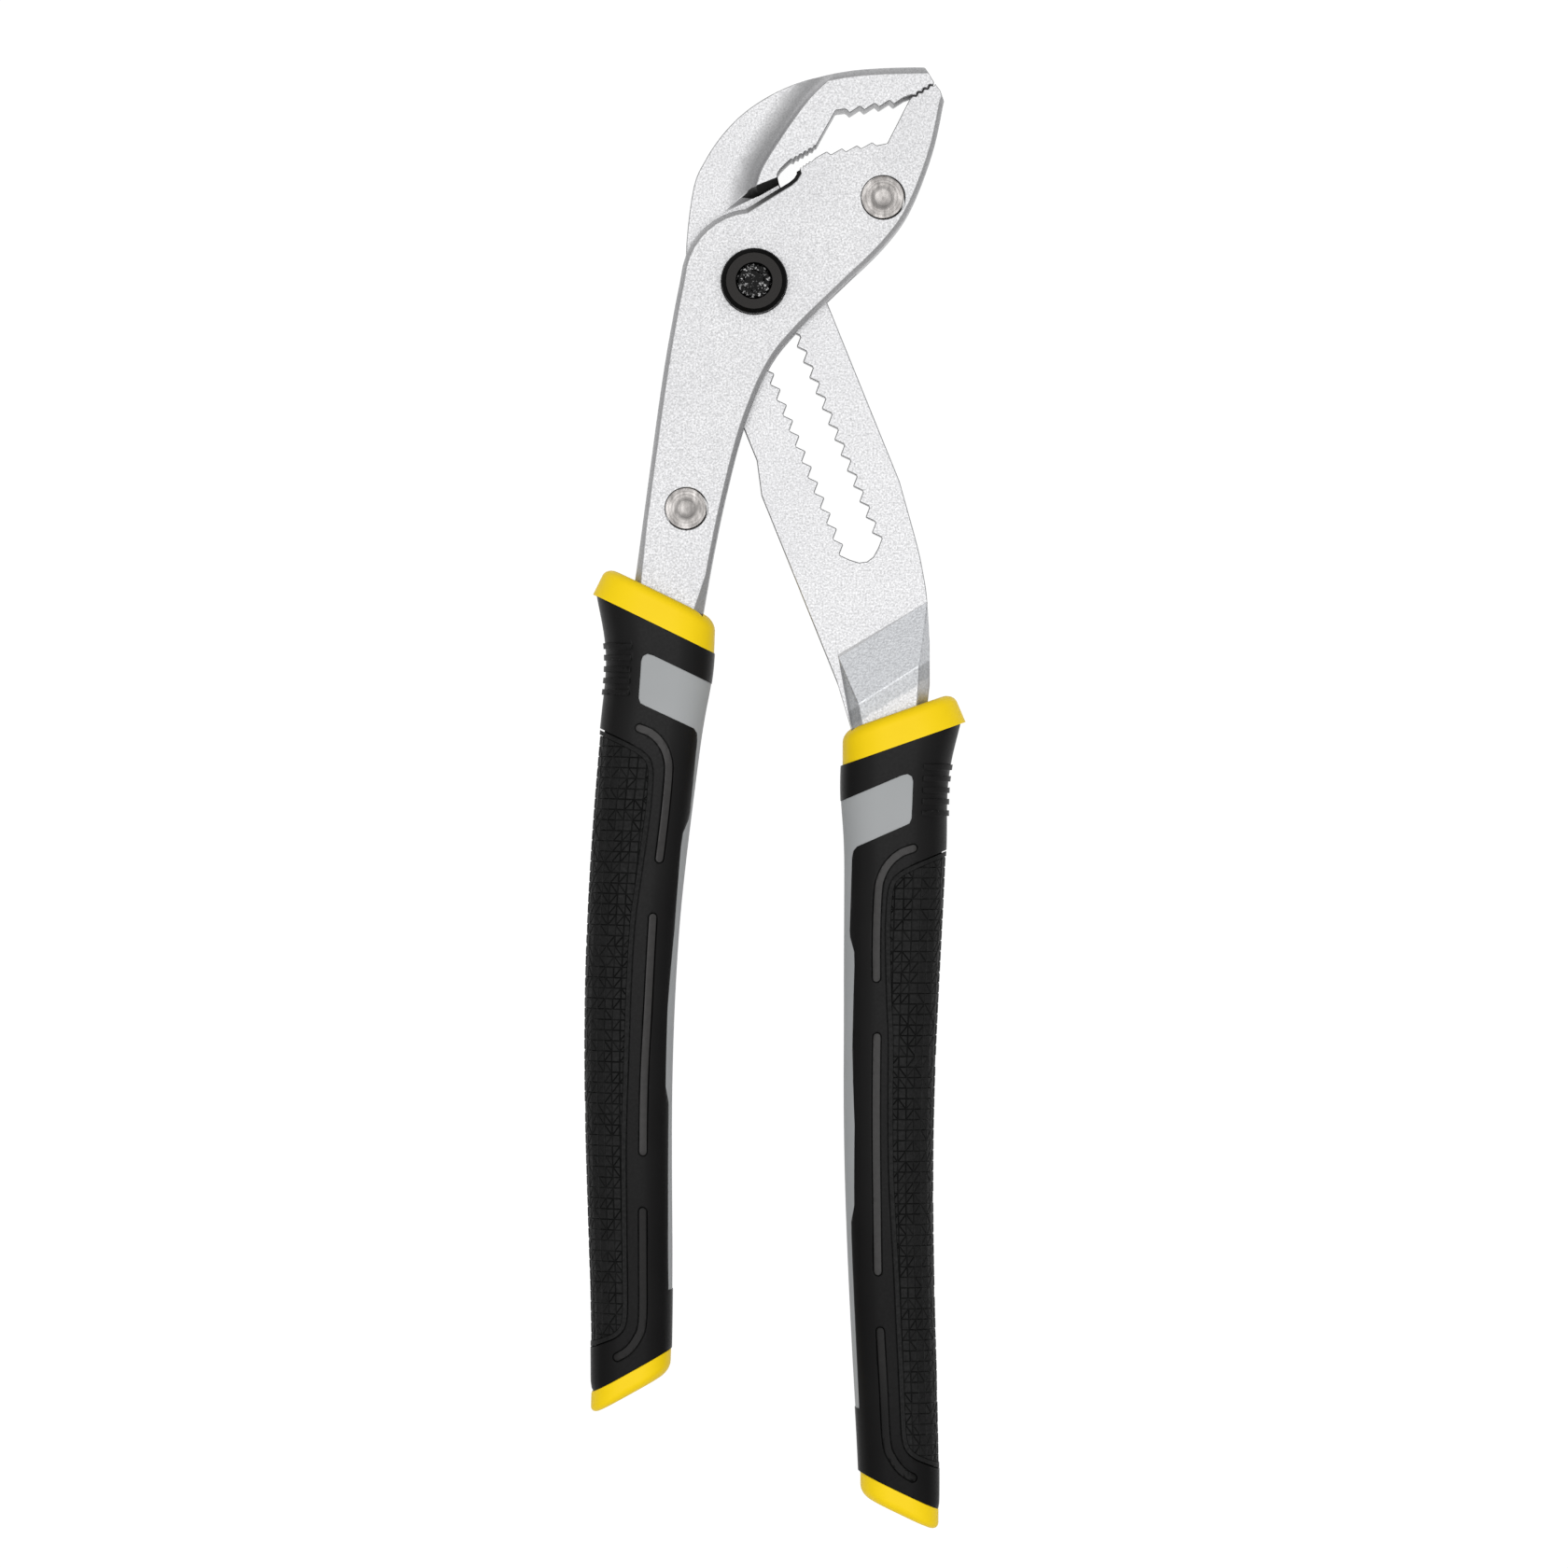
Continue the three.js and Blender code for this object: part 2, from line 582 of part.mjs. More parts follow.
function releaseButton() {
  const body = turned(
    [0, HUB_LOW], [BUTTON_HUB_RADIUS, HUB_LOW], [BUTTON_HUB_RADIUS, ROOF_LOW], [SKIRT_RADIUS, ROOF_LOW],
    [SKIRT_RADIUS, BUTTON_LOW], [BUTTON_RADIUS, BUTTON_LOW], [BUTTON_RADIUS, BUTTON_TOP - BUTTON_RIM],
    [BUTTON_RADIUS - BUTTON_RIM, BUTTON_TOP], [0, BUTTON_TOP],
  );
  const recess = rod(SCREW_RECESS_RADIUS, BUTTON_TOP - SCREW_RECESS_DEPTH, FAR);
  return body.subtract(recess).subtract(rod(SCREW_SHANK_RADIUS + SCREW_GAP, 0, FAR));
}

function buttonScrew() {
  const seat = BUTTON_TOP - SCREW_RECESS_DEPTH;
  const top = seat + SCREW_HEAD_HEIGHT;
  const radius = SCREW_RECESS_RADIUS - SCREW_GAP;
  const chamfer = SCREW_HEAD_HEIGHT / 4;
  const body = turned(
    [0, seat - SCREW_SHANK_LENGTH], [SCREW_SHANK_RADIUS, seat - SCREW_SHANK_LENGTH], [SCREW_SHANK_RADIUS, seat],
    [radius, seat], [radius, top - chamfer], [radius - chamfer, top], [0, top],
  );
  return body.subtract(rod(SOCKET_RADIUS, top - SOCKET_DEPTH, FAR, 6));
}

function seatWasher() {
  const ring = rod(SKIRT_RADIUS - SPRING_GAP, BUTTON_FLOOR, BUTTON_FLOOR + WASHER_THICKNESS);
  return ring.subtract(rod(NECK_RADIUS + BORE_GAP, 0, FAR));
}

class Helix extends THREE.Curve {
  constructor(radius, low, high, turns) {
    super();
    Object.assign(this, { radius, low, high, turns });
  }

  getPoint(t, target = new THREE.Vector3()) {
    const angle = 2 * Math.PI * this.turns * t;
    const level = THREE.MathUtils.lerp(this.low, this.high, t);
    return target.set(this.radius * Math.cos(angle), this.radius * Math.sin(angle), level);
  }
}

function buttonSpring() {
  const radius = (SKIRT_RADIUS + BUTTON_HUB_RADIUS) / 2;
  const low = BUTTON_FLOOR + WASHER_THICKNESS + SPRING_WIRE_RADIUS + SPRING_GAP;
  const high = ROOF_LOW - SPRING_WIRE_RADIUS - SPRING_GAP;
  const wire = new THREE.Shape().absarc(0, 0, SPRING_WIRE_RADIUS, 0, 2 * Math.PI);
  return solid(new THREE.ExtrudeGeometry(wire, {
    steps: 20 * SPRING_TURNS,
    curveSegments: 3,
    bevelEnabled: false,
    extrudePath: new Helix(radius, low, high, SPRING_TURNS),
  }));
}

// Grip solids are made straight: +X to the inner side, -Y down the handle. Then they are bowed and placed
function inPlace(body, { x, y, turn, bow, flip }) {
  const bent = body.warp((v) => {
    const swell = Math.sin(Math.PI * THREE.MathUtils.clamp(-v[1] / GRIP_LENGTH, 0, 1));
    v[0] += bow * Math.max(swell, 0) ** GRIP_BOW_SHARPNESS;
  });
  const sided = flip ? bent.mirror([1, 0, 0]) : bent;
  return sided.rotate([0, 0, turn]).translate([x, y, 0]);
}

function superellipse(halfWidth, halfHeight, count) {
  const ring = [];
  for (let i = 0; i < count; i += 1) {
    const angle = (2 * Math.PI * (i + 0.5)) / count;
    const [cos, sin] = [Math.cos(angle), Math.sin(angle)];
    const x = halfWidth * Math.sign(cos) * Math.abs(cos) ** (2 / GRIP_SQUARENESS);
    const y = halfHeight * Math.sign(sin) * Math.abs(sin) ** (2 / GRIP_SQUARENESS);
    ring.push(point(x, y));
  }
  return ring;
}

function gripBlank(inset) {
  const along = (key) => new THREE.SplineCurve(GRIP_SECTIONS.map((section) => point(section.s, section[key])));
  const [outer, inner, half] = [along('outer'), along('inner'), along('half')];
  const rings = [];
  for (let i = 0; i <= GRIP_RINGS; i += 1) {
    const t = i / GRIP_RINGS;
    const { x: s, y: outerReach } = outer.getPoint(t);
    const innerReach = inner.getPoint(t).y;
    const middle = (innerReach - outerReach) / 2;
    const section = superellipse((innerReach + outerReach) / 2 - inset, half.getPoint(t).y - inset, GRIP_RING_POINTS);
    rings.push(section.map((p) => new THREE.Vector3(p.x + middle, -s, p.y)));
  }
  return loft(rings);
}

function tangBar(grow) {
  const rings = TANG_SECTIONS.map(({ s, middle, width, half }, k) => {
    const end = k === TANG_SECTIONS.length - 1 ? grow : 0;
    const [w, h] = [width + grow, half + grow];
    const corners = [
      [w, TANG_CHAMFER - h], [w, h - TANG_CHAMFER], [w - TANG_CHAMFER, h], [TANG_CHAMFER - w, h],
      [-w, h - TANG_CHAMFER], [-w, TANG_CHAMFER - h], [TANG_CHAMFER - w, -h], [w - TANG_CHAMFER, -h],
    ];
    return corners.map(([x, z]) => new THREE.Vector3(x + middle, -s - end, z));
  });
  return loft(rings);
}

function tang(handle) {
  return inPlace(tangBar(0), handle);
}

// Half of space above a plane that is tilted about Z and passes through a place on the grip's middle line
function above(s, tilt) {
  return box(-FAR, FAR, 0, 3 * FAR, -FAR, FAR).rotate([0, 0, tilt]).translate([0, -s, 0]);
}

function below(s, tilt) {
  return box(-FAR, FAR, -3 * FAR, 0, -FAR, FAR).rotate([0, 0, tilt]).translate([0, -s, 0]);
}

// Slanted slice of the handle with upright sides, one end flat and the other rounded
function slice({ s, middle, width, half, height, round, side }, tilt) {
  const full = bevelledPlate(outline(superellipse(width, half, GRIP_RING_POINTS)), height, round, round, 3);
  const slope = Math.tan(THREE.MathUtils.degToRad(tilt));
  const slanted = full.rotate([-90, 0, 0]).translate([middle, 0, 0]).warp((v) => {
    v[1] += slope * v[0];
  });
  const kept = side > 0 ? above(0, tilt) : below(0, tilt);
  return slanted.intersect(kept).translate([0, -s, 0]);
}

// The collar's outer end leans with its slant, so the hand stops against a flange
function collarRing(tilt) {
  const { s, middle, width, half, height, round } = COLLAR;
  const spread = width / Math.cos(THREE.MathUtils.degToRad(tilt));
  const ring = outline(superellipse(spread, half + COLLAR_OVERHANG, GRIP_RING_POINTS));
  const flange = bevelledPlate(ring, height + COLLAR_OVERHANG, round, round, 2);
  const leaning = flange.rotate([-90, 0, 0]).translate([middle, 0, 0]).rotate([0, 0, tilt]);
  return slice(COLLAR, tilt).intersect(leaning.translate([0, -s, 0]));
}

// Outlines on the face of the grip, in x towards the inner side and s down the handle
function faceOutline(...pairs) {
  return outline(points(...pairs.map(([x, s]) => [x, -s])));
}

function padOutline() {
  return faceOutline(
    [-20, 20], [-9.7, 24.4], [-3.4, 27.1], [-0.6, 28.6], [1.2, 30.4], [1.9, 33], [2, 41], [1.1, 55], [0.45, 64],
    [0.2, 90], [-0.3, 110], [-0.4, CAP_S - 11.7], [-1.1, CAP_S - 8.7], [-2.7, CAP_S - 6.7], [-8.5, CAP_S - 4.3],
    [-20, CAP_S + 0.3],
  );
}

function insertOutline() {
  return faceOutline(
    [24, 19.5], [24, 138.8], [7.7, 138.8], [8.2, 100.5], [7.6, 97.5], [8.4, 65], [8.7, 45.5], [9.8, 42], [10.2, 26],
    [9.3, 23.7], [-1.7, 19.2], [-2.4, 18], [-2.4, 10], [-1.4, 8.8], [0, 9.1],
  );
}

const INLAYS = {
  upper: [[-1.8, 24], [0.9, 25.1], [3.1, 27.2], [4.4, 29.8], [4.9, 33], [4.8, 42], [4.4, 50.6]],
  middle: [[3.85, 62.6], [3.7, 80], [3.2, 96], [2.95, 110.6]],
  lower: [[2.75, 122.8], [2.6, 134], [2.4, CAP_S - 10.3], [1.2, CAP_S - 6.7], [-0.6, CAP_S - 4.3],
    [-2.75, CAP_S - 2.9]],
};

// Narrow band of even width along a curve on the grip's face
function band(route, width) {
  const curve = new THREE.SplineCurve(points(...route.map(([x, s]) => [x, -s])));
  const steps = 2 * route.length;
  const [one, other] = [[], []];
  for (let i = 0; i <= steps; i += 1) {
    const place = curve.getPoint(i / steps);
    const way = curve.getTangent(i / steps);
    const side = point(-way.y, way.x).multiplyScalar(width / 2);
    one.push(place.clone().add(side));
    other.push(place.clone().sub(side));
  }
  const start = curve.getPoint(0).addScaledVector(curve.getTangent(0), -width / 2);
  const end = curve.getPoint(1).addScaledVector(curve.getTangent(1), width / 2);
  return outline([start, ...one, end, ...other.reverse()]);
}

// Pieces let into the skin of the grip, and the pockets they lie in
function letIn(shape, depth, sink = 0) {
  const skin = sink ? gripBlank(sink) : gripBlank(0);
  return skin.subtract(gripBlank(depth)).intersect(prism(shape, -FAR, FAR));
}

function pocketFor(shape, depth) {
  return prism(shape, -FAR, FAR, GRIP_GAP).subtract(gripBlank(depth + GRIP_GAP));
}

function ridges() {
  const skin = gripBlank(-RIDGE_HEIGHT);
  const bars = [];
  for (let i = 0; i < RIDGE_COUNT; i += 1) {
    const s = RIDGE_START + i * RIDGE_PITCH;
    bars.push(skin.intersect(box(-FAR, -RIDGE_REACH, -s - RIDGE_WIDTH / 2, -s + RIDGE_WIDTH / 2, -FAR, FAR)));
  }
  return bars.reduce((all, bar) => all.add(bar));
}

function gripSleeve({ collarTilt, capTilt }) {
  const ends = above(COLLAR.s + GRIP_GAP, collarTilt).add(below(CAP.s - GRIP_GAP, capTilt));
  const inlayPockets = Object.values(INLAYS).map((route) => pocketFor(band(route, INLAY_WIDTH), INLAY_DEPTH));
  return gripBlank(0)
    .add(ridges())
    .subtract(ends)
    .subtract(pocketFor(padOutline(), PAD_DEPTH))
    .subtract(pocketFor(insertOutline(), INSERT_DEPTH))
    .subtract(inlayPockets.reduce((all, cut) => all.add(cut)))
    .subtract(tangBar(GRIP_GAP));
}

const STEEL = { color: 0xdcdcdf, roughness: 0.45, metalness: 0.9 };
const RIVET_STEEL = { color: 0xb5aeaa, roughness: 0.35, metalness: 0.9 };
const BLACK_STEEL = { color: 0x2b2a2a, roughness: 0.5, metalness: 0.6 };
const YELLOW = { color: 0xfbd820, roughness: 0.45, metalness: 0 };
const BLACK = { color: 0x2a2a2b, roughness: 0.6, metalness: 0 };
const PAD = { color: 0x232323, roughness: 0.85, metalness: 0 };
const GREY = { color: 0xa2a4a6, roughness: 0.6, metalness: 0 };
const INLAY = { color: 0x4a4848, roughness: 0.4, metalness: 0 };

// Hole through a collar, clear of the two edges of the steel that passes it
function collarBore(left, right, half) {
  const along = ({ x, y, taper }, shift) => point(x + taper * shift, y + shift);
  const reach = COLLAR_BORE_REACH;
  const corners = [along(left, reach), along(left, -reach), along(right, -reach), along(right, reach)];
  return prism(outline(corners), -half - GRIP_GAP, half + GRIP_GAP, GRIP_GAP);
}

// All pieces of one grip
function grip(handle, bore) {
  const named = (part, body, look) => piece(`${handle.name}_${part}`, inPlace(body, handle), look);
  const collar = collarRing(handle.collarTilt);
  const cap = slice(CAP, handle.capTilt);
  const bored = inPlace(collar, handle).subtract(bore);
  const group = new THREE.Group();
  group.add(piece(`${handle.name}_collar`, bored, YELLOW));
  group.add(named('grip_sleeve', gripSleeve(handle), BLACK));
  group.add(named('palm_pad', letIn(padOutline(), PAD_DEPTH), PAD));
  group.add(named('grey_insert', letIn(insertOutline(), INSERT_DEPTH), GREY));
  group.add(named('end_cap', cap, YELLOW));
  for (const [place, route] of Object.entries(INLAYS)) {
    const strips = letIn(band(route, INLAY_WIDTH), INLAY_DEPTH, INLAY_SINK);
    group.add(named(`inlay_${place}_front`, strips.intersect(FRONT), INLAY));
    group.add(named(`inlay_${place}_rear`, strips.intersect(REAR), INLAY));
  }
  return group;
}

function outerGroup() {
  const group = new THREE.Group();
  const forging = outerHalf();
  group.add(piece('front_cheek', forging.intersect(FRONT).subtract(frontBores()), STEEL));
  group.add(piece('rear_cheek', forging.intersect(REAR).subtract(rearBores()), STEEL));
  group.add(piece('jaw_rivet', rivet(JAW_RIVET), RIVET_STEEL));
  group.add(piece('shank_rivet', rivet(SHANK_RIVET), RIVET_STEEL));
  group.add(grip(LEFT_GRIP, collarBore(SHANK_LEFT, SHANK_RIGHT, HALF_HEAD)));
  return group;
}

function pivotGroup() {
  const group = new THREE.Group();
  group.add(piece('toothed_pin', toothedPin(), BLACK_STEEL));
  group.add(piece('release_button', releaseButton(), BLACK_STEEL));
  group.add(piece('button_screw', buttonScrew(), BLACK_STEEL));
  group.add(piece('button_spring', buttonSpring(), STEEL));
  group.add(piece('spring_seat_washer', seatWasher(), STEEL));
  return group;
}

function innerGroup() {
  const group = new THREE.Group();
  group.add(piece('jaw_arm', armForging(), STEEL));
  group.add(grip(RIGHT_GRIP, collarBore(ARM_FOOT_LEFT, ARM_FOOT_RIGHT, TANG_HALF_THICKNESS)));
  return group;
}

const pliers = new THREE.Group();
pliers.add(outerGroup(), pivotGroup(), innerGroup());
pliers.position.z = HALF_HEAD;

export default pliers;
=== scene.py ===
import math
import random

import bpy
from mathutils import Matrix, Vector


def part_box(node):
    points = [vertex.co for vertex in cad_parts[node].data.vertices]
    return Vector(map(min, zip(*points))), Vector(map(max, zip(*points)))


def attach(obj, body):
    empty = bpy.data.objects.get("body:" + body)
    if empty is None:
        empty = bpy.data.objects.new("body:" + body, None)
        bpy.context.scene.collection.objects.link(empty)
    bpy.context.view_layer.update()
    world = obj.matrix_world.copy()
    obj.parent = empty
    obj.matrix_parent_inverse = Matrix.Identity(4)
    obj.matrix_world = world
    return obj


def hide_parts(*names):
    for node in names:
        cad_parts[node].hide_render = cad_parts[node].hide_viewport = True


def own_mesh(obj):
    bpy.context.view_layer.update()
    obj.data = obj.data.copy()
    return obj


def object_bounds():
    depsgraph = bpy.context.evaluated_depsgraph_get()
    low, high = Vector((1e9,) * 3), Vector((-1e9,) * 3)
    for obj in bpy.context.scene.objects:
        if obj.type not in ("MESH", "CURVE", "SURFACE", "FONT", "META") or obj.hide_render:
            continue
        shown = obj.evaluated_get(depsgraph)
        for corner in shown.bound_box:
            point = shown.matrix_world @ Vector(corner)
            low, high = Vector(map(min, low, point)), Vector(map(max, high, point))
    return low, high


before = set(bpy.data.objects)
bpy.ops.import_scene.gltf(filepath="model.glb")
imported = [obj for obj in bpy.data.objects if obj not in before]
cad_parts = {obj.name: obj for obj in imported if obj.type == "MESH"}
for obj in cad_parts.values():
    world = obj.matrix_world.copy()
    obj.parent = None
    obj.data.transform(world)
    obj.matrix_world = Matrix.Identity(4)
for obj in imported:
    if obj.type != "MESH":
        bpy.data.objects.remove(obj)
cad_box = [list(corner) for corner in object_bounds()]
MM = 0.001

# Cheeks. The two plates of the outer half are forged steel, blasted to a fine even grain and ground round the
# edges, so that a narrow bevel catches the light. They carry the lower jaw and are riveted to each other. The
# bevel in the notch behind the jaw's teeth is given painted shade: a darker steel colour in place of the shadow
# and dark reflection there.
PLATE_TOP = 13.4
STEEL_FACE = (0.56, 0.56, 0.567)
STEEL_CLOUD = (0.525, 0.525, 0.535)
STEEL_GRAIN = (0.43, 0.43, 0.437)
STEEL_SPECK = (0.20, 0.20, 0.204)


def alone(obj):
    bpy.ops.object.select_all(action='DESELECT')
    bpy.context.view_layer.objects.active = obj
    obj.select_set(True)


def solid_copy(node, name):
    piece = bpy.data.objects.new(name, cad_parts[node].data.copy())
    bpy.context.scene.collection.objects.link(piece)
    alone(piece)
    bpy.ops.mesh.customdata_custom_splitnormals_clear()
    bpy.ops.object.mode_set(mode='EDIT')
    bpy.ops.mesh.select_all(action='SELECT')
    bpy.ops.mesh.remove_doubles(threshold=0.002 * MM)
    bpy.ops.mesh.dissolve_limited(angle_limit=math.radians(0.4))
    bpy.ops.object.mode_set(mode='OBJECT')
    return piece


def apply_all(piece):
    alone(piece)
    for modifier in list(piece.modifiers):
        bpy.ops.object.modifier_apply(modifier=modifier.name)


def weld(piece, reach):
    alone(piece)
    bpy.ops.object.mode_set(mode='EDIT')
    bpy.ops.mesh.select_all(action='SELECT')
    bpy.ops.mesh.remove_doubles(threshold=reach * MM)
    bpy.ops.object.mode_set(mode='OBJECT')


def edge_leans(mesh):
    sides = {}
    for face in mesh.polygons:
        for key in face.edge_keys:
            sides.setdefault(key, []).append(face.normal)
    pairs = [sides.get(edge.key, []) for edge in mesh.edges]
    return [pair[0].angle(pair[1], 0.0) if len(pair) == 2 else 0.0 for pair in pairs]


EDGE_SHARE = 3
TOOTH_TIP_SHARE = 8


def weigh_edges(piece, width, angle):
    mesh = piece.data
    room = [1.0] * len(mesh.vertices)
    for edge in mesh.edges:
        a, b = edge.vertices
        length = (mesh.vertices[a].co - mesh.vertices[b].co).length
        room[a], room[b] = min(room[a], length), min(room[b], length)
    share = mesh.attributes.new("bevel_weight_edge", 'FLOAT', 'EDGE')
    for edge, lean in zip(mesh.edges, edge_leans(mesh)):
        if lean > math.radians(angle):
            a, b = (mesh.vertices[v].co for v in edge.vertices)
            upright = abs(a.z - b.z) > 0.9 * (a - b).length
            widths_spared = TOOTH_TIP_SHARE if upright else EDGE_SHARE
            spare = min(room[v] for v in edge.vertices) / (widths_spared * width * MM)
            share.data[edge.index].value = min(1.0, spare)


def ease_edges(piece, width, steps=2, angle=34, smooth=32, narrow=False, crisp_below=None):
    edge = piece.modifiers.new("eased_edges", 'BEVEL')
    edge.width = width * MM
    edge.segments = steps
    edge.angle_limit = math.radians(angle)
    edge.limit_method = 'WEIGHT' if narrow else 'ANGLE'
    if narrow:
        weigh_edges(piece, width, angle)
    edge.use_clamp_overlap = not narrow
    edge.loop_slide = not narrow
    edge.miter_outer = 'MITER_ARC'
    apply_all(piece)
    bpy.ops.object.shade_smooth_by_angle(angle=math.radians(smooth))
    if crisp_below is not None:
        for line, lean in zip(piece.data.edges, edge_leans(piece.data)):
            low = max(piece.data.vertices[v].co.y for v in line.vertices) < crisp_below * MM
            line.use_edge_sharp = line.use_edge_sharp or (low and lean > math.radians(7))
    flat = piece.modifiers.new("flat_faces", 'WEIGHTED_NORMAL')
    flat.weight = 60
    flat.keep_sharp = True
    apply_all(piece)


def finish_of(name, roughness, metallic=0.0, sheen=0.5):
    material = bpy.data.materials.new(name)
    material.use_nodes = True
    surface = material.node_tree.nodes["Principled BSDF"]
    surface.inputs["Roughness"].default_value = roughness
    surface.inputs["Metallic"].default_value = metallic
    surface.inputs["Specular IOR Level"].default_value = sheen
    return material, material.node_tree, surface


def place(tree, kind, **values):
    node = tree.nodes.new(kind)
    for key, value in values.items():
        if key in node.inputs:
            node.inputs[key].default_value = value
        else:
            setattr(node, key, value)
    return node


def surface_place(tree):
    return place(tree, "ShaderNodeTexCoord").outputs["Object"]


def along_axes(tree, where):
    node = place(tree, "ShaderNodeSeparateXYZ")
    tree.links.new(where, node.inputs["Vector"])
    return node.outputs


def noise(tree, where, scale, detail=2.0, rough=0.5):
    node = place(tree, "ShaderNodeTexNoise", Scale=scale, Detail=detail, Roughness=rough)
    tree.links.new(where, node.inputs["Vector"])
    return node.outputs["Fac"]


def ramp(tree, value, *stops):
    node = tree.nodes.new("ShaderNodeValToRGB")
    while len(node.color_ramp.elements) < len(stops):
        node.color_ramp.elements.new(0.5)
    for element, (position, colour) in zip(node.color_ramp.elements, stops):
        element.position = position
        element.color = (*colour, 1.0) if len(colour) == 3 else colour
    tree.links.new(value, node.inputs["Fac"])
    return node.outputs["Color"]


def grey(value):
    return (value, value, value)


def math_node(tree, operation, a, b):
    node = place(tree, "ShaderNodeMath", operation=operation)
    for slot, value in zip(node.inputs, (a, b)):
        if isinstance(value, (int, float)):
            slot.default_value = value
        else:
            tree.links.new(value, slot)
    return node.outputs["Value"]


def mix(tree, factor, low, high):
    node = place(tree, "ShaderNodeMix", data_type='RGBA')
    tree.links.new(factor, node.inputs["Factor"])
    for key, value in (("A", low), ("B", high)):
        slot = [s for s in node.inputs if s.name == key and s.type == 'RGBA'][0]
        if isinstance(value, tuple):
            slot.default_value = (*value, 1.0)
        else:
            tree.links.new(value, slot)
    return [s for s in node.outputs if s.type == 'RGBA'][0]


def bump(tree, surface, height, strength, depth):
    node = place(tree, "ShaderNodeBump", Strength=strength, Distance=depth * MM)
    tree.links.new(height, node.inputs["Height"])
    tree.links.new(node.outputs["Normal"], surface.inputs["Normal"])


def blasted_steel(name, tone):
    material, tree, surface = finish_of(name, roughness=0.42, metallic=0.85)
    shades = (STEEL_FACE, STEEL_CLOUD, STEEL_GRAIN, STEEL_SPECK)
    face, pale, grit, dot = (tuple(tone * c for c in shade) for shade in shades)
    where = surface_place(tree)
    grain = noise(tree, where, 2600, 2.0, 0.6)
    fleck = noise(tree, where, 1900, 3.0, 0.75)
    cloud = noise(tree, where, 70, 4.0)
    body = mix(tree, ramp(tree, cloud, (0.35, grey(0)), (0.7, grey(1))), face, pale)
    grained = mix(tree, ramp(tree, grain, (0.3, grey(1)), (0.62, grey(0))), body, grit)
    flecked = mix(tree, ramp(tree, fleck, (0.27, grey(1)), (0.34, grey(0))), grained, dot)
    tree.links.new(flecked, surface.inputs["Base Color"])
    tree.links.new(ramp(tree, grain, (0.2, grey(0.56)), (0.8, grey(0.38))), surface.inputs["Roughness"])
    bump(tree, surface, grain, strength=0.2, depth=0.05)
    return material


STEEL = blasted_steel("blasted_steel", 0.965)
NOTCH_START = (-1.4, 14.7)
NOTCH_SLOPE = 0.74
NOTCH_REACH = 1.6
NOTCH_SPAN = (-2.0, 9.6)
NOTCH_FADE = 12.0
NOTCH_SHADE_TONES = ((0.04, grey(0.34)), (0.3, grey(0.15)), (0.62, grey(0.035)), (0.95, grey(0.02)))


# Painted shade: the notch faces get a dark steel colour, darkest further in, in place of their shadow and dark
# reflection.
def painted_notch_shade():
    material, tree, surface = finish_of("notch_steel_painted_shade", roughness=0.6, metallic=0.4, sheen=0.3)
    where = surface_place(tree)
    inward = math_node(tree, 'SUBTRACT', along_axes(tree, where)["X"], NOTCH_SPAN[0] * MM)
    inward = math_node(tree, 'DIVIDE', inward, NOTCH_FADE * MM)
    inward = math_node(tree, 'ADD', inward, math_node(tree, 'MULTIPLY', noise(tree, where, 900, 4.0, 0.7), 0.08))
    tree.links.new(ramp(tree, inward, *NOTCH_SHADE_TONES), surface.inputs["Base Color"])
    return material


PAINTED_NOTCH_SHADE = painted_notch_shade()


def dress(piece, material):
    piece.data.materials.clear()
    piece.data.materials.append(material)


def cut(piece, tool, how='DIFFERENCE'):
    step = piece.modifiers.new("cut", 'BOOLEAN')
    step.operation = how
    step.solver = 'EXACT'
    step.object = tool
    apply_all(piece)
    bpy.data.objects.remove(tool, do_unlink=True)


FLARE_BLOCK = 24.0
FLARE_OVERRUN = 5.0


def wedge(start, end, foot, outward):
    along = (end - start).normalized()
    across = (foot - end).normalized()
    normal = along.cross(across).normalized()
    if normal.dot(outward) < 0:
        normal.negate()
    bpy.ops.object.select_all(action='DESELECT')
    bpy.ops.mesh.primitive_cube_add(size=FLARE_BLOCK * MM)
    block = bpy.context.object
    side = normal.cross(along)
    turn = Matrix((along, side, normal)).transposed().to_4x4()
    middle = (start + end) / 2 + along * FLARE_OVERRUN * MM + normal * FLARE_BLOCK / 2 * MM
    block.matrix_world = Matrix.Translation(middle) @ turn
    bpy.ops.object.transform_apply(location=True, rotation=True, scale=True)
    return block


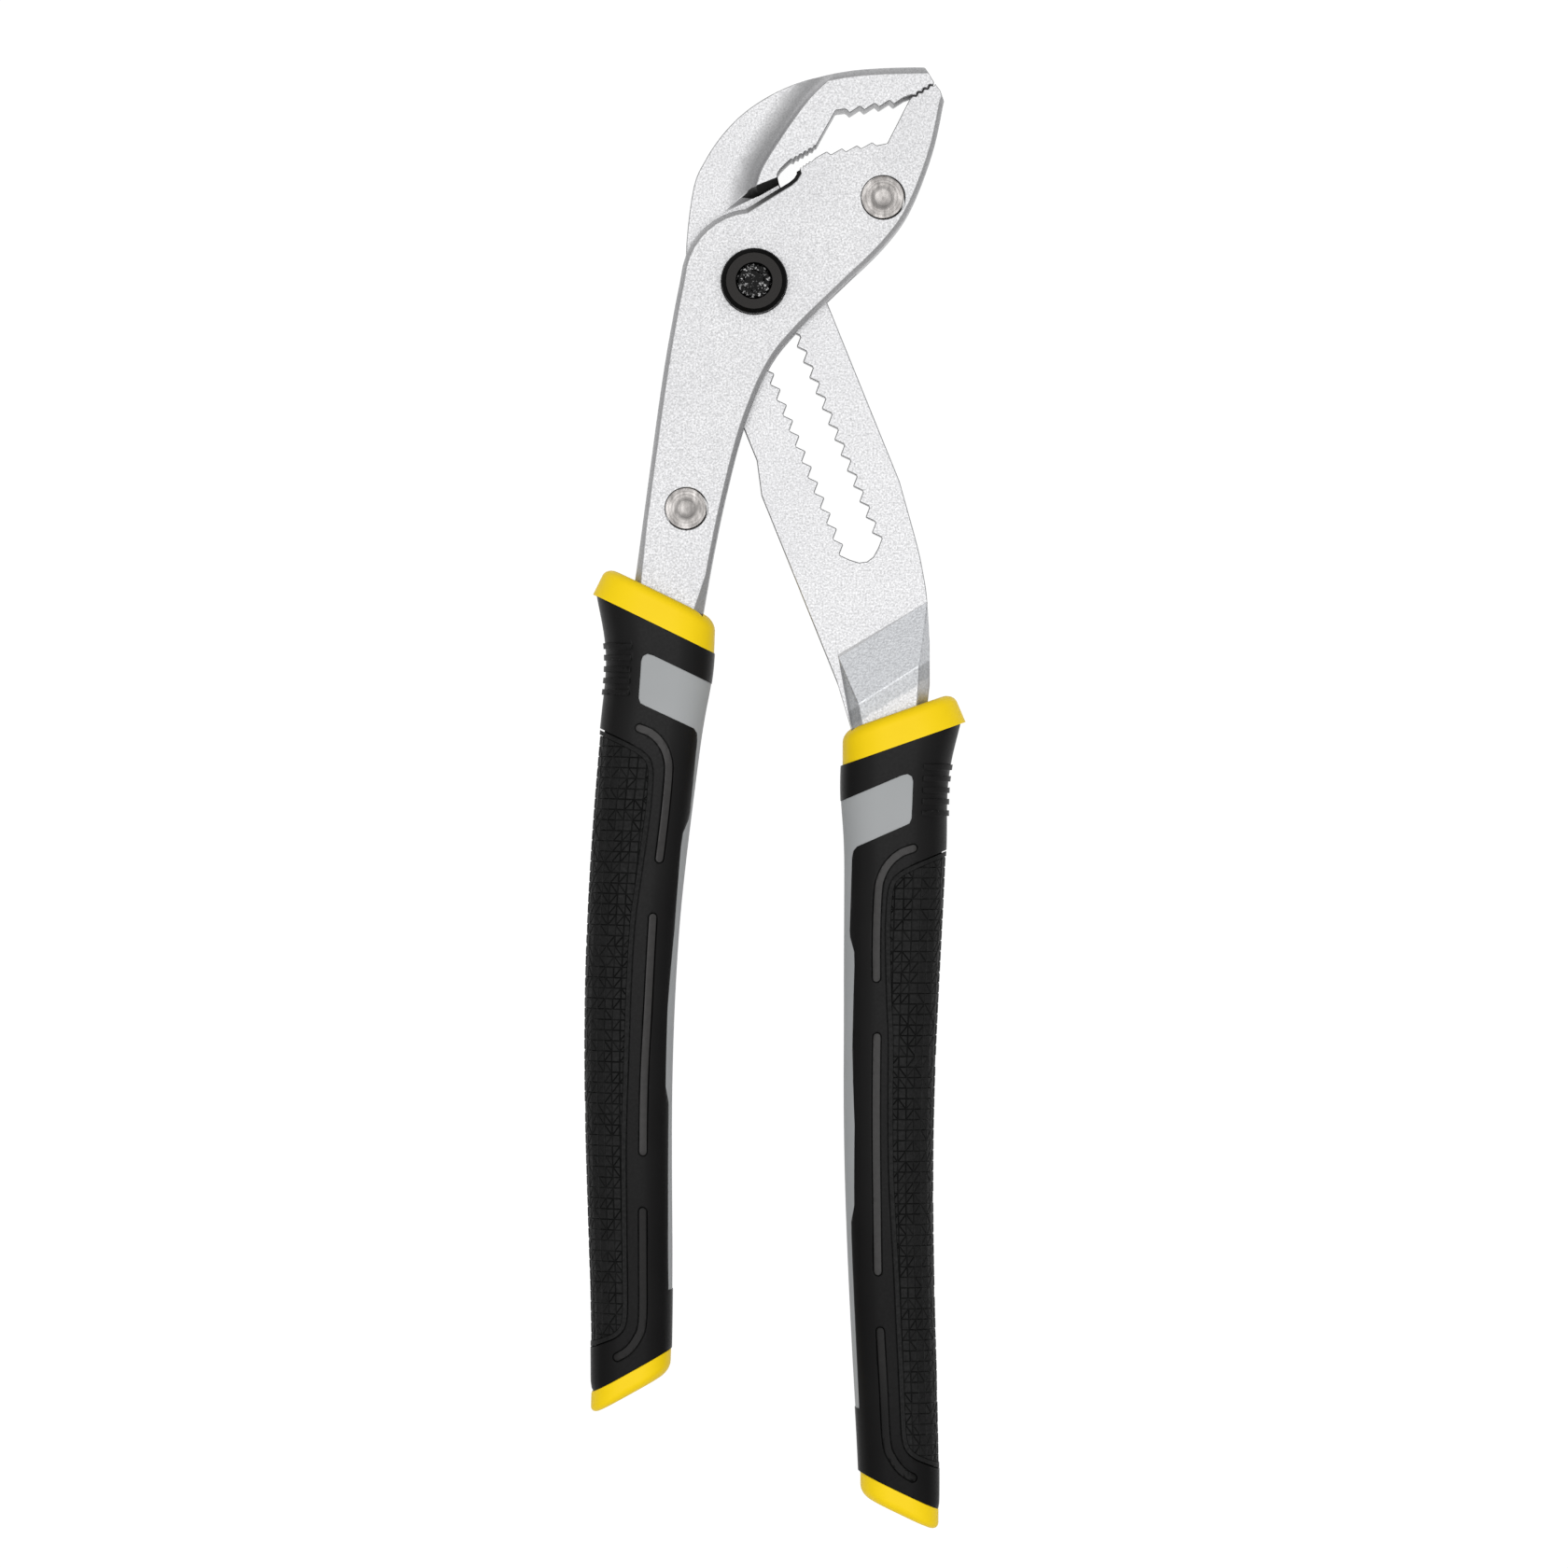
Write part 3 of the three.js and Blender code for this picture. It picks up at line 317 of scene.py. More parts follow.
SHANK_FLARES = (
    ((-22.90, -50.0), (-24.53, -62.0), 0.9, 1.35, -1),
    ((-9.07, -60.1), (-10.35, -67.47), 0.9, 2.1, 1),
)
POCKET = {"cut": 6.9, "seen": 6.73}
SAME_RADIUS = 0.05
FLAT_FACE = 0.92
CHEEK_EDGE = 0.15
SLIVER = 0.06
for node, level, up in (("front_cheek", PLATE_TOP, 1), ("rear_cheek", 0.0, -1)):
    cheek = solid_copy(node, node + "_steel")
    for (x0, y0), (x1, y1), slim, wide, hand in SHANK_FLARES:
        start = Vector((x0 - hand * slim, y0, level)) * MM
        end = Vector((x1 - hand * wide, y1, level)) * MM
        foot = Vector((x1, y1, level - up * wide)) * MM
        cut(cheek, wedge(start, end, foot, Vector((hand, 0, up))))
    for vertex in cheek.data.vertices:
        if abs(vertex.co.xy.length - POCKET["cut"] * MM) < SAME_RADIUS * MM:
            vertex.co.xy = vertex.co.xy * POCKET["seen"] / POCKET["cut"]
    weld(cheek, SLIVER)
    ease_edges(cheek, CHEEK_EDGE, steps=1, narrow=True)
    dress(cheek, STEEL)
    # Faces in the notch get the painted shade material below.
    cheek.data.materials.append(PAINTED_NOTCH_SHADE)
    for face in cheek.data.polygons:
        x, y = face.center.xy / MM
        off_line = y - NOTCH_START[1] - NOTCH_SLOPE * (x - NOTCH_START[0])
        in_notch = NOTCH_SPAN[0] < x < NOTCH_SPAN[1] and abs(off_line) < NOTCH_REACH
        if in_notch and face.normal.z * up < FLAT_FACE:
            face.material_index = 1
    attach(cheek, "outer_half")
    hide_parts(node)

# Rivets. Two plain steel rivets hold the cheeks together at the jaw and on the shank. They are pressed flush and
# turned, with a sunk ring where the punch set them, and a dark gap round each.
RIVETS = {"jaw_rivet": 4.35, "shank_rivet": 4.2}
RIVET_STEPS = ((0.02, -0.3), (0.8, 0.28), (0.22, -0.08), (0.25, 0.07), (0.85, -0.02), (0.25, -0.12), (0.9, -0.03))
RIVET_SET = Vector((-0.08, 0.07, 0)) * MM
RIVET_TONES = ((0.38, (0.104, 0.0985, 0.095)), (0.57, (0.245, 0.233, 0.225)), (0.76, (0.435, 0.418, 0.407)))


def rivet_steel(name, centre):
    material, tree, surface = finish_of(name, roughness=0.3, metallic=0.9)
    where = surface_place(tree)
    away = place(tree, "ShaderNodeVectorMath", operation='SUBTRACT')
    away.inputs[1].default_value = centre
    tree.links.new(where, away.inputs[0])
    flat = place(tree, "ShaderNodeVectorMath", operation='MULTIPLY')
    flat.inputs[1].default_value = (1, 1, 0)
    tree.links.new(away.outputs["Vector"], flat.inputs[0])
    radius = place(tree, "ShaderNodeVectorMath", operation='LENGTH')
    tree.links.new(flat.outputs["Vector"], radius.inputs[0])
    drag = place(tree, "ShaderNodeVectorMath", operation='MULTIPLY')
    drag.inputs[1].default_value = (1, 0.35, 1)
    tree.links.new(where, drag.inputs[0])
    blotch = noise(tree, drag.outputs["Vector"], 520, 4.0, 0.65)
    rings = math_node(tree, 'MULTIPLY', noise(tree, radius.outputs["Value"], 9000, 2.0), 0.55)
    turned = math_node(tree, 'ADD', rings, math_node(tree, 'MULTIPLY', blotch, 0.6))
    tree.links.new(ramp(tree, turned, *RIVET_TONES), surface.inputs["Base Color"])
    tree.links.new(ramp(tree, blotch, (0.3, grey(0.46)), (0.7, grey(0.28))), surface.inputs["Roughness"])
    bump(tree, surface, turned, strength=0.3, depth=0.08)
    return material


def cap_faces(piece, level, up):
    mesh = piece.data
    bpy.ops.mesh.select_all(action='DESELECT')
    bpy.ops.object.mode_set(mode='OBJECT')
    for face in mesh.polygons:
        face.select = face.normal.z * up > 0.9 and abs(face.center.z - level) < 0.02 * MM
    bpy.ops.object.mode_set(mode='EDIT')


for node, radius in RIVETS.items():
    low, high = (Vector(corner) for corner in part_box(node))
    middle = (low + high) / 2
    bpy.ops.object.select_all(action='DESELECT')
    bpy.ops.mesh.primitive_cylinder_add(vertices=64, radius=radius * MM, depth=high.z - low.z,
                                        location=middle + RIVET_SET)
    rivet = bpy.context.object
    rivet.name = node + "_pressed"
    bpy.ops.object.transform_apply(location=True, rotation=True, scale=True)
    bpy.ops.object.mode_set(mode='EDIT')
    bpy.ops.mesh.select_mode(type='FACE')
    for level, up in ((high.z, 1), (low.z, -1)):
        cap_faces(rivet, level, up)
        for inward, rise in RIVET_STEPS:
            bpy.ops.mesh.inset(thickness=inward * MM, depth=rise * MM)
    bpy.ops.object.mode_set(mode='OBJECT')
    ease_edges(rivet, 0.12, steps=2, angle=60, smooth=40)
    dress(rivet, rivet_steel(node + "_turned_steel", middle))
    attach(rivet, "outer_half")
    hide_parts(node)

# Jaw arm. One forging makes the upper jaw, the thin web with the toothed slot and the tang. The web and jaw are
# blasted like the cheeks; the ramp up to the tang keeps its rough hammered forging skin. The recess under the
# jaw's foot is given painted shade, darkest at its base.
RAMP_START = Vector((26.15, -71.35, 0)) * MM
RAMP_WAY = Vector((0.534, -0.845, 0))
RAMP_LENGTH = 10.2
MID_LEVEL = PLATE_TOP / 2
HALF_WEB = 2.5
JAW_RISE = MID_LEVEL - HALF_WEB
SKIN_FROM = HALF_WEB + 0.04
HAMMERED = {
    "slope": ((0.505, 0.514, 0.533), (0.655, 0.668, 0.689)),
    "flat": ((0.34, 0.347, 0.358), (0.46, 0.468, 0.482)),
}


def off_middle(tree, where):
    height = math_node(tree, 'SUBTRACT', along_axes(tree, where)["Z"], MID_LEVEL * MM)
    return math_node(tree, 'ABSOLUTE', height, 0.0)


def arm_steel():
    material = blasted_steel("blasted_steel_with_hammered_ramp", 1.01)
    tree = material.node_tree
    surface = tree.nodes["Principled BSDF"]
    where = surface_place(tree)
    along = place(tree, "ShaderNodeVectorMath", operation='DOT_PRODUCT')
    along.inputs[1].default_value = RAMP_WAY / MM
    tree.links.new(where, along.inputs[0])
    past = math_node(tree, 'SUBTRACT', along.outputs["Value"], RAMP_START.dot(RAMP_WAY) / MM)
    wander = noise(tree, where, 260, 3.0)
    edge = math_node(tree, 'ADD', past, math_node(tree, 'MULTIPLY', wander, 2.4))
    starts = ramp(tree, math_node(tree, 'MULTIPLY', past, 0.1), (0.0, grey(0)), (0.01, grey(1)))
    ends = ramp(tree, math_node(tree, 'MULTIPLY', edge, 0.05), (0.715, grey(1)), (0.735, grey(0)))
    skin = math_node(tree, 'MULTIPLY', starts, ends)
    above_web = math_node(tree, 'GREATER_THAN', off_middle(tree, where), SKIN_FROM * MM)
    skin = math_node(tree, 'MULTIPLY', skin, above_web)
    dents = noise(tree, where, 2300, 2.0, 0.6)
    old_colour = surface.inputs["Base Color"].links[0].from_socket
    levelled = math_node(tree, 'MULTIPLY', past, 0.05)
    pits, tops = (ramp(tree, levelled, (0.05 * RAMP_LENGTH, slope), (0.05 * RAMP_LENGTH + 0.02, flat))
                  for slope, flat in zip(HAMMERED["slope"], HAMMERED["flat"]))
    hammered = mix(tree, ramp(tree, dents, (0.36, grey(0)), (0.62, grey(1))), pits, tops)
    tree.links.new(mix(tree, skin, old_colour, hammered), surface.inputs["Base Color"])
    old_normal = surface.inputs["Normal"].links[0].from_socket
    beaten = place(tree, "ShaderNodeBump", Distance=0.12 * MM)
    tree.links.new(math_node(tree, 'MULTIPLY', skin, 0.6), beaten.inputs["Strength"])
    tree.links.new(dents, beaten.inputs["Height"])
    tree.links.new(old_normal, beaten.inputs["Normal"])
    tree.links.new(beaten.outputs["Normal"], surface.inputs["Normal"])
    return material


# Painted shade: the colour darkens from the top of the recess wall down to the web, in place of the shadow under the
# jaw's foot.
def painted_recess_shade(name, tones):
    material, tree, surface = finish_of(name, roughness=0.6, metallic=0.4, sheen=0.3)
    where = surface_place(tree)
    rise = math_node(tree, 'SUBTRACT', off_middle(tree, where), HALF_WEB * MM)
    rise = math_node(tree, 'DIVIDE', rise, JAW_RISE * MM)
    rise = math_node(tree, 'ADD', rise, math_node(tree, 'MULTIPLY', noise(tree, where, 900, 4.0, 0.7), 0.1))
    stops = [(place_on, grey(tone)) for place_on, tone in zip((0.05, 0.2, 0.5, 1.0), tones)]
    tree.links.new(ramp(tree, rise, *stops), surface.inputs["Base Color"])
    return material


SHOULDER_FOOT = (((4.79, 21.24), (5.08, 20.25)), ((0.4, 19.5), (0.9, 17.9)), ((-0.7, 19.1), (-0.3, 17.2)))
SAME_CORNER = 0.15
SAME_HEIGHT = 0.02
ARM_EDGE = 0.2
ARM_SLIVER = 0.2
RAMP_TOP = -60
RECESS = {"x": (-7.3, 5.5), "y": (13, 21.6), "dark_from": 0.3}
arm = solid_copy("jaw_arm", "jaw_arm_steel")
for vertex in arm.data.vertices:
    x, y, z = vertex.co / MM
    for (x0, y0), (x1, y1) in SHOULDER_FOOT:
        on_web = abs(abs(z - MID_LEVEL) - HALF_WEB) < SAME_HEIGHT
        if on_web and math.hypot(x - x0, y - y0) < SAME_CORNER:
            vertex.co.xy = (x1 * MM, y1 * MM)
weld(arm, ARM_SLIVER)
ease_edges(arm, ARM_EDGE, steps=1, narrow=True, crisp_below=RAMP_TOP)
dress(arm, arm_steel())
# The downward faces in the recess get painted shade: near black on the right, a ramp up to mid grey on the left.
arm.data.materials.append(painted_recess_shade("recess_steel_painted_shadow", (0.014, 0.02, 0.03, 0.035)))
arm.data.materials.append(painted_recess_shade("recess_steel_painted_shade_ramp", (0.012, 0.016, 0.07, 0.19)))
for face in arm.data.polygons:
    x, y, z = face.center / MM
    in_recess = RECESS["x"][0] < x < RECESS["x"][1] and RECESS["y"][0] < y < RECESS["y"][1]
    faces_down = face.normal.y < -0.2 and abs(face.normal.z) < 0.85
    if in_recess and faces_down and abs(z - MID_LEVEL) > HALF_WEB:
        face.material_index = 1 if x > RECESS["dark_from"] else 2
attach(arm, "inner_half")
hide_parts("jaw_arm")

# Toothed pin, spring and seat washer. The pin's rear head shows flush in the rear cheek, and its V teeth in the
# slot. It is blackened steel; the wire spring and the washer under the button are bright, and the spring's coil
# closes up as the button goes in.


def blackened_steel():
    material, tree, surface = finish_of("blackened_steel", roughness=0.45, metallic=0.35)
    where = surface_place(tree)
    worn = noise(tree, where, 700, 4.0, 0.6)
    tree.links.new(ramp(tree, worn, (0.3, grey(0.022)), (0.7, (0.036, 0.034, 0.034))), surface.inputs["Base Color"])
    tree.links.new(ramp(tree, worn, (0.3, grey(0.52)), (0.7, grey(0.40))), surface.inputs["Roughness"])
    bump(tree, surface, noise(tree, where, 2600, 2.0), strength=0.12, depth=0.03)
    return material


BLACKENED = blackened_steel()
pin = solid_copy("toothed_pin", "toothed_pin_blackened")
ease_edges(pin, 0.1)
dress(pin, BLACKENED)
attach(pin, "push_pin")
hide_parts("toothed_pin")


def bright_wire():
    material, tree, surface = finish_of("bright_wire", roughness=0.28, metallic=0.95)
    drawn = noise(tree, surface_place(tree), 900, 3.0)
    tree.links.new(ramp(tree, drawn, (0.3, grey(0.5)), (0.7, grey(0.66))), surface.inputs["Base Color"])
    return material


WIRE = bright_wire()
dress(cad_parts["spring_seat_washer"], WIRE)

spring = solid_copy("button_spring", "button_spring_coil")
ease_edges(spring, 0.04)
dress(spring, WIRE)
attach(spring, "pivot_carrier")
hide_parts("button_spring")
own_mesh(spring)

# Release button. A blackened disc with a bevelled rim and a matte face, drawn down on the pin by a socket screw
# that sits in its round recess. Bright specks are painted into the screw's black as glints.
BUTTON_RECESS = 3.67
FACE_EDGE = 0.3
BUTTON_TONES = ((0.3, (0.0095, 0.0082, 0.0074)), (0.7, (0.0135, 0.0115, 0.0105)))


def matte_black_face():
    material, tree, surface = finish_of("matte_black_face", roughness=0.5, sheen=0.22)
    where = surface_place(tree)
    fine = noise(tree, where, 2200, 3.0)
    tree.links.new(ramp(tree, fine, *BUTTON_TONES), surface.inputs["Base Color"])
    bump(tree, surface, fine, strength=0.15, depth=0.03)
    return material


# Painted highlight: noise specks in the base colour stand in for glints; bright on the screw, near black on the rim.
def black_with_painted_glints(name, painted_glint, roughness):
    material, tree, surface = finish_of(name, roughness=roughness, sheen=0.06)
    where = surface_place(tree)
    painted_glint_specks = noise(tree, where, 1500, 3.0, 0.75)
    tree.links.new(ramp(tree, painted_glint_specks, (0.55, grey(0.0022)), (0.66, grey(painted_glint))), surface.inputs["Base Color"])
    bump(tree, surface, painted_glint_specks, strength=0.35, depth=0.06)
    return material


button = solid_copy("release_button", "release_button_disc")
ease_edges(button, 0.14, steps=3)
dress(button, matte_black_face())
button.data.materials.append(black_with_painted_glints("polished_black_rim", 0.006, 0.3))
for face in button.data.polygons:
    reach = max(button.data.vertices[v].co.xy.length for v in face.vertices)
    if face.normal.z < 0.93 or reach < (BUTTON_RECESS + FACE_EDGE) * MM:
        face.material_index = 1
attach(button, "push_pin")
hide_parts("release_button")

screw = solid_copy("button_screw", "button_screw_socket")
ease_edges(screw, 0.16, steps=3)
dress(screw, black_with_painted_glints("polished_black_screw_painted_glints", 0.62, 0.25))
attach(screw, "push_pin")
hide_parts("button_screw")

# Grip sleeves. Each handle is moulded in two colours: a smooth black sleeve with five finger ridges under the
# collar, pockets for the textured pad and the grey insert, and three slim channels for the inlaid strips.
HANDLES = {
    "left": {"side": 1, "x": -20.15, "y": -67.5, "turn": -1.88, "collar": 24.1, "cap": 30.9, "body": "outer_half",
             "strips_in": 0.0, "insert_in": 0.0},
    "right": {"side": -1, "x": 30.35, "y": -92.0, "turn": -0.2, "collar": 19.5, "cap": 25.5, "body": "inner_half",
              "strips_in": 1.2, "insert_in": 0.8},
}
GRIP_SECTIONS = (
    (-8, 13.4, 12.2, 10.0), (0, 11.9, 12.4, 9.9), (6, 10.2, 12.6, 9.6), (13, 9.7, 12.6, 9.3), (22, 10.1, 11.4, 9.0),
    (40, 10.2, 10.5, 8.8), (62, 10.0, 9.6, 8.6), (97, 9.45, 9.1, 8.4), (131, 8.85, 8.85, 8.2), (150, 8.5, 8.5, 8.0),
    (168, 8.2, 8.2, 7.8),
)
STATIONS = [-8 + 5.5 * k for k in range(32)]
BOW = 2.6
BOW_LENGTH = 160
BOW_POWER = 1.6
RING_FIT = 0.991
ROUTE_STEP = 3
CUTTER_REACH = 30
HALF_SPACE = 0.3
COLLAR_S = 2.7
CAP_S = 155.7


def bowed(handle, x, s):
    swell = math.sin(math.pi * min(max(s / BOW_LENGTH, 0), 1))
    return handle["side"] * x - BOW * max(swell, 0) ** BOW_POWER


def between(s, column):
    rows = GRIP_SECTIONS
    k = max(i for i in range(len(rows) - 1) if rows[i][0] <= s)
    before, start, end, after = rows[max(k - 1, 0)], rows[k], rows[k + 1], rows[min(k + 2, len(rows) - 1)]
    t = (s - start[0]) / (end[0] - start[0])
    p = [row[column] for row in (before, start, end, after)]
    bend = t * (p[2] - p[0] + t * (2 * p[0] - 5 * p[1] + 4 * p[2] - p[3] + t * (3 * (p[1] - p[2]) + p[3] - p[0])))
    return p[1] + 0.5 * bend


def rounded_ring(name, reach=0.77, steps=6, profile=0.5):
    bpy.ops.object.select_all(action='DESELECT')
    bpy.ops.mesh.primitive_plane_add(size=2, rotation=(math.pi / 2, 0, 0))
    piece = bpy.context.object
    piece.name = name
    bpy.ops.object.transform_apply(location=True, rotation=True, scale=True)
    bpy.ops.object.mode_set(mode='EDIT')
    bpy.ops.mesh.select_all(action='SELECT')
    bpy.ops.mesh.bevel(affect='VERTICES', offset=reach, segments=steps, profile=profile)
    bpy.ops.mesh.select_all(action='SELECT')
    bpy.ops.mesh.remove_doubles(threshold=0.01)
    return piece


def grip_skin(piece, handle, inset, stations):
    last = None
    for s in stations:
        outer, inner, half = between(s, 1), between(s, 2), between(s, 3)
        width, tall = (RING_FIT * (outer + inner) / 2 - inset) * MM, (RING_FIT * half - inset) * MM
        spot = Vector((bowed(handle, (inner - outer) / 2, s), -s, 0)) * MM
        if last is None:
            bpy.ops.transform.translate(value=spot)
            bpy.ops.transform.resize(value=(width, 1, tall), center_override=spot)
        else:
            bpy.ops.mesh.extrude_region_move(TRANSFORM_OT_translate={"value": spot - last[0]})
            bpy.ops.transform.resize(value=(width / last[1], 1, tall / last[2]), center_override=spot)
        last = (spot, width, tall)
    bpy.ops.mesh.select_all(action='SELECT')
    bpy.ops.mesh.normals_make_consistent(inside=False)
    bpy.ops.object.mode_set(mode='OBJECT')


def grip_blank(name, handle, inset):
    piece = rounded_ring(name)
    grip_skin(piece, handle, inset, STATIONS)
    rounding = piece.modifiers.new("smooth_moulding", 'SUBSURF')
    rounding.levels = 2
    rounding.render_levels = 2
    apply_all(piece)
    return piece


def outline_block(name, points, half):
    drawn = bpy.data.curves.new(name, 'CURVE')
    drawn.dimensions = '2D'
    drawn.fill_mode = 'BOTH'
    drawn.extrude = half * MM
    line = drawn.splines.new('POLY')
    line.points.add(len(points) - 1)
    for spot, (x, y) in zip(line.points, points):
        spot.co = (x * MM, y * MM, 0, 1)
    line.use_cyclic_u = True
    block = bpy.data.objects.new(name, drawn)
    bpy.context.scene.collection.objects.link(block)
    alone(block)
    bpy.ops.object.convert(target='MESH')
    block = bpy.context.object
    bpy.ops.object.mode_set(mode='EDIT')
    bpy.ops.mesh.select_all(action='SELECT')
    bpy.ops.mesh.remove_doubles(threshold=0.001 * MM)
    bpy.ops.mesh.normals_make_consistent(inside=False)
    bpy.ops.object.mode_set(mode='OBJECT')
    return block


def face_cutter(name, handle, outline):
    route = []
    for (x0, s0), (x1, s1) in zip(outline, outline[1:] + outline[:1]):
        steps = max(1, round(math.hypot(x1 - x0, s1 - s0) / ROUTE_STEP))
        route += [(x0 + (x1 - x0) * k / steps, s0 + (s1 - s0) * k / steps) for k in range(steps)]
    return outline_block(name, [(bowed(handle, x, s), -s) for x, s in route], CUTTER_REACH)


def half_space(name, s, tilt, up):
    bpy.ops.object.select_all(action='DESELECT')
    bpy.ops.mesh.primitive_cube_add(size=HALF_SPACE, location=(0, HALF_SPACE / 2 * up, 0))
    block = bpy.context.object
    block.name = name
    bpy.ops.object.transform_apply(location=True, rotation=True, scale=True)
    block.rotation_euler = (0, 0, math.radians(tilt))
    block.location = (0, -s * MM, 0)
    bpy.ops.object.transform_apply(location=True, rotation=True, scale=True)
    return block


def set_on_handle(piece, handle):
    alone(piece)
    piece.rotation_euler = (0, 0, math.radians(handle["turn"]))
    piece.location = (handle["x"] * MM, handle["y"] * MM, MID_LEVEL * MM)
    bpy.ops.object.transform_apply(location=True, rotation=True, scale=True)


def strip_outline(route, width):
    one, other = [], []
    for k, (x, s) in enumerate(route):
        (xa, sa), (xb, sb) = route[max(k - 1, 0)], route[min(k + 1, len(route) - 1)]
        reach = math.hypot(xb - xa, sb - sa)
        nx, ns = -(sb - sa) / reach * width / 2, (xb - xa) / reach * width / 2
        one.append((x + nx, s + ns))
        other.append((x - nx, s - ns))
    ends = []
    for (x, s), (xn, sn), corner in ((route[-1], route[-2], one[-1]), (route[0], route[1], other[0])):
        start = math.atan2(corner[1] - s, corner[0] - x)
        away = math.atan2(s - sn, x - xn)
        turn = 1 if math.sin(away - start) > 0 else -1
        ends.append([(x + width / 2 * math.cos(start + turn * math.pi * k / 6),
                      s + width / 2 * math.sin(start + turn * math.pi * k / 6)) for k in range(1, 6)])
    return one + ends[0] + other[::-1] + ends[1]


def smooth_route(points, steps=6):
    route = []
    for k in range(len(points) - 1):
        p = [points[max(k - 1, 0)], points[k], points[k + 1], points[min(k + 2, len(points) - 1)]]
        for i in range(steps):
            t = i / steps
            route.append(tuple(p[1][c] + 0.5 * t * (p[2][c] - p[0][c] + t * (
                2 * p[0][c] - 5 * p[1][c] + 4 * p[2][c] - p[3][c] + t * (3 * (p[1][c] - p[2][c]) + p[3][c] - p[0][c])))
                for c in (0, 1)))
    return route + [points[-1]]


def inset_outline(outline, distance):
    moved = []
    for k, (x, s) in enumerate(outline):
        (xa, sa), (xb, sb) = outline[k - 1], outline[(k + 1) % len(outline)]
        before = Vector((x - xa, s - sa)).normalized()
        after = Vector((xb - x, sb - s)).normalized()
        way = (before + after).normalized()
        reach = distance / max(way.dot(after), 0.5)
        moved.append((x - way.y * reach, s + way.x * reach))
    return moved


PAD_OUTLINE = [(-20, 20)] + smooth_route([
    (-9.7, 24.4), (-6.4, 25.8), (-3.4, 27.1), (-0.6, 28.6), (1.2, 30.4), (1.9, 33), (2.05, 36.5), (2, 41), (1.6, 48),
    (1.1, 55), (0.45, 64), (0.3, 77), (0.2, 90), (-0.05, 100), (-0.3, 110), (-0.36, 121), (-0.4, 132), (-0.42, 140),
    (-0.55, 144.5), (-1.2, 147.1), (-2.9, 148.9), (-5.6, 150.2), (-8.5, 151.4)], 4) + [(-20, 156)]
INSERT_OUTLINE = [
    (24, 19.5), (24, 138.8), (7.75, 138.8), (7.8, 130), (8.2, 103), (8.2, 100.5), (7.6, 97.2), (7.7, 81), (8.4, 65),
    (8.6, 48), (8.8, 45.2), (9.75, 42.3), (9.9, 41), (10.2, 26), (10.0, 24.6), (9.3, 23.7), (-1.0, 19.4), (-2.0, 18.9),
    (-2.4, 17.8), (-2.4, 10.4), (-2.1, 9.3), (-1.2, 8.8), (0, 9.1)]
STRIPS = {
    "upper": ((-1.8, 24), (0.9, 25.1), (3.1, 27.2), (4.4, 29.8), (4.9, 33), (4.8, 42), (4.4, 50.6)),
    "middle": ((3.85, 62.6), (3.7, 80), (3.2, 96), (2.95, 110.6)),
    "lower": ((2.75, 122.8), (2.6, 134), (2.4, 145.4), (1.2, 149), (-0.6, 151.4), (-2.75, 152.8)),
}
SHIFT_FADES = (82.0, 116.0)
SPIGOT = {"rise": 0.6, "inset": 0.4}
PAD_DEPTH = 1.0
INSERT_DEPTH = 1.5
STRIP_DEPTH = 1.1
STRIP_WIDTH = 1.45
STRIP_GAP = 0.3
SLEEVE_TONES = ((0.3, (0.0065, 0.0063, 0.0064)), (0.7, (0.0085, 0.0083, 0.0084)))
RIDGES = (7.4, 9.75, 12.1, 14.45, 16.8)
RIDGE = {"proud": 0.42, "x": -12.0, "size": (15 * MM, 1.15 * MM, 30 * MM)}
CAP_GAP = 0.02
INSERT_EDGE = (7, 11)


def shift_share(s):
    return min(max((SHIFT_FADES[1] - s) / (SHIFT_FADES[1] - SHIFT_FADES[0]), 0), 1)


def insert_outline(handle):
    low, high = INSERT_EDGE
    return [(x - handle["insert_in"] * shift_share(s) if low < x < high else x, s) for x, s in INSERT_OUTLINE]


def strip_route(handle, where_on_grip):
    return smooth_route([(x - handle["strips_in"] * shift_share(s), s) for x, s in STRIPS[where_on_grip]])


def satin_black():
    material, tree, surface = finish_of("satin_black_moulding", roughness=0.42, sheen=0.17)
    where = surface_place(tree)
    fine = noise(tree, where, 1800, 3.0)
    cloud = noise(tree, where, 60, 3.0)
    tree.links.new(ramp(tree, cloud, *SLEEVE_TONES), surface.inputs["Base Color"])
    tree.links.new(ramp(tree, fine, (0.3, grey(0.48)), (0.7, grey(0.38))), surface.inputs["Roughness"])
    # Painted sheen: the specular level drops towards the handle's lower end, so the lower sleeve renders darker as if
    # less lit.
    height = math_node(tree, 'MULTIPLY', math_node(tree, 'ADD', along_axes(tree, where)["Y"], 0.25), 5.0)
    tree.links.new(ramp(tree, height, (0.0, grey(0.055)), (1.0, grey(0.14))), surface.inputs["Specular IOR Level"])
    bump(tree, surface, fine, strength=0.10, depth=0.03)
    return material


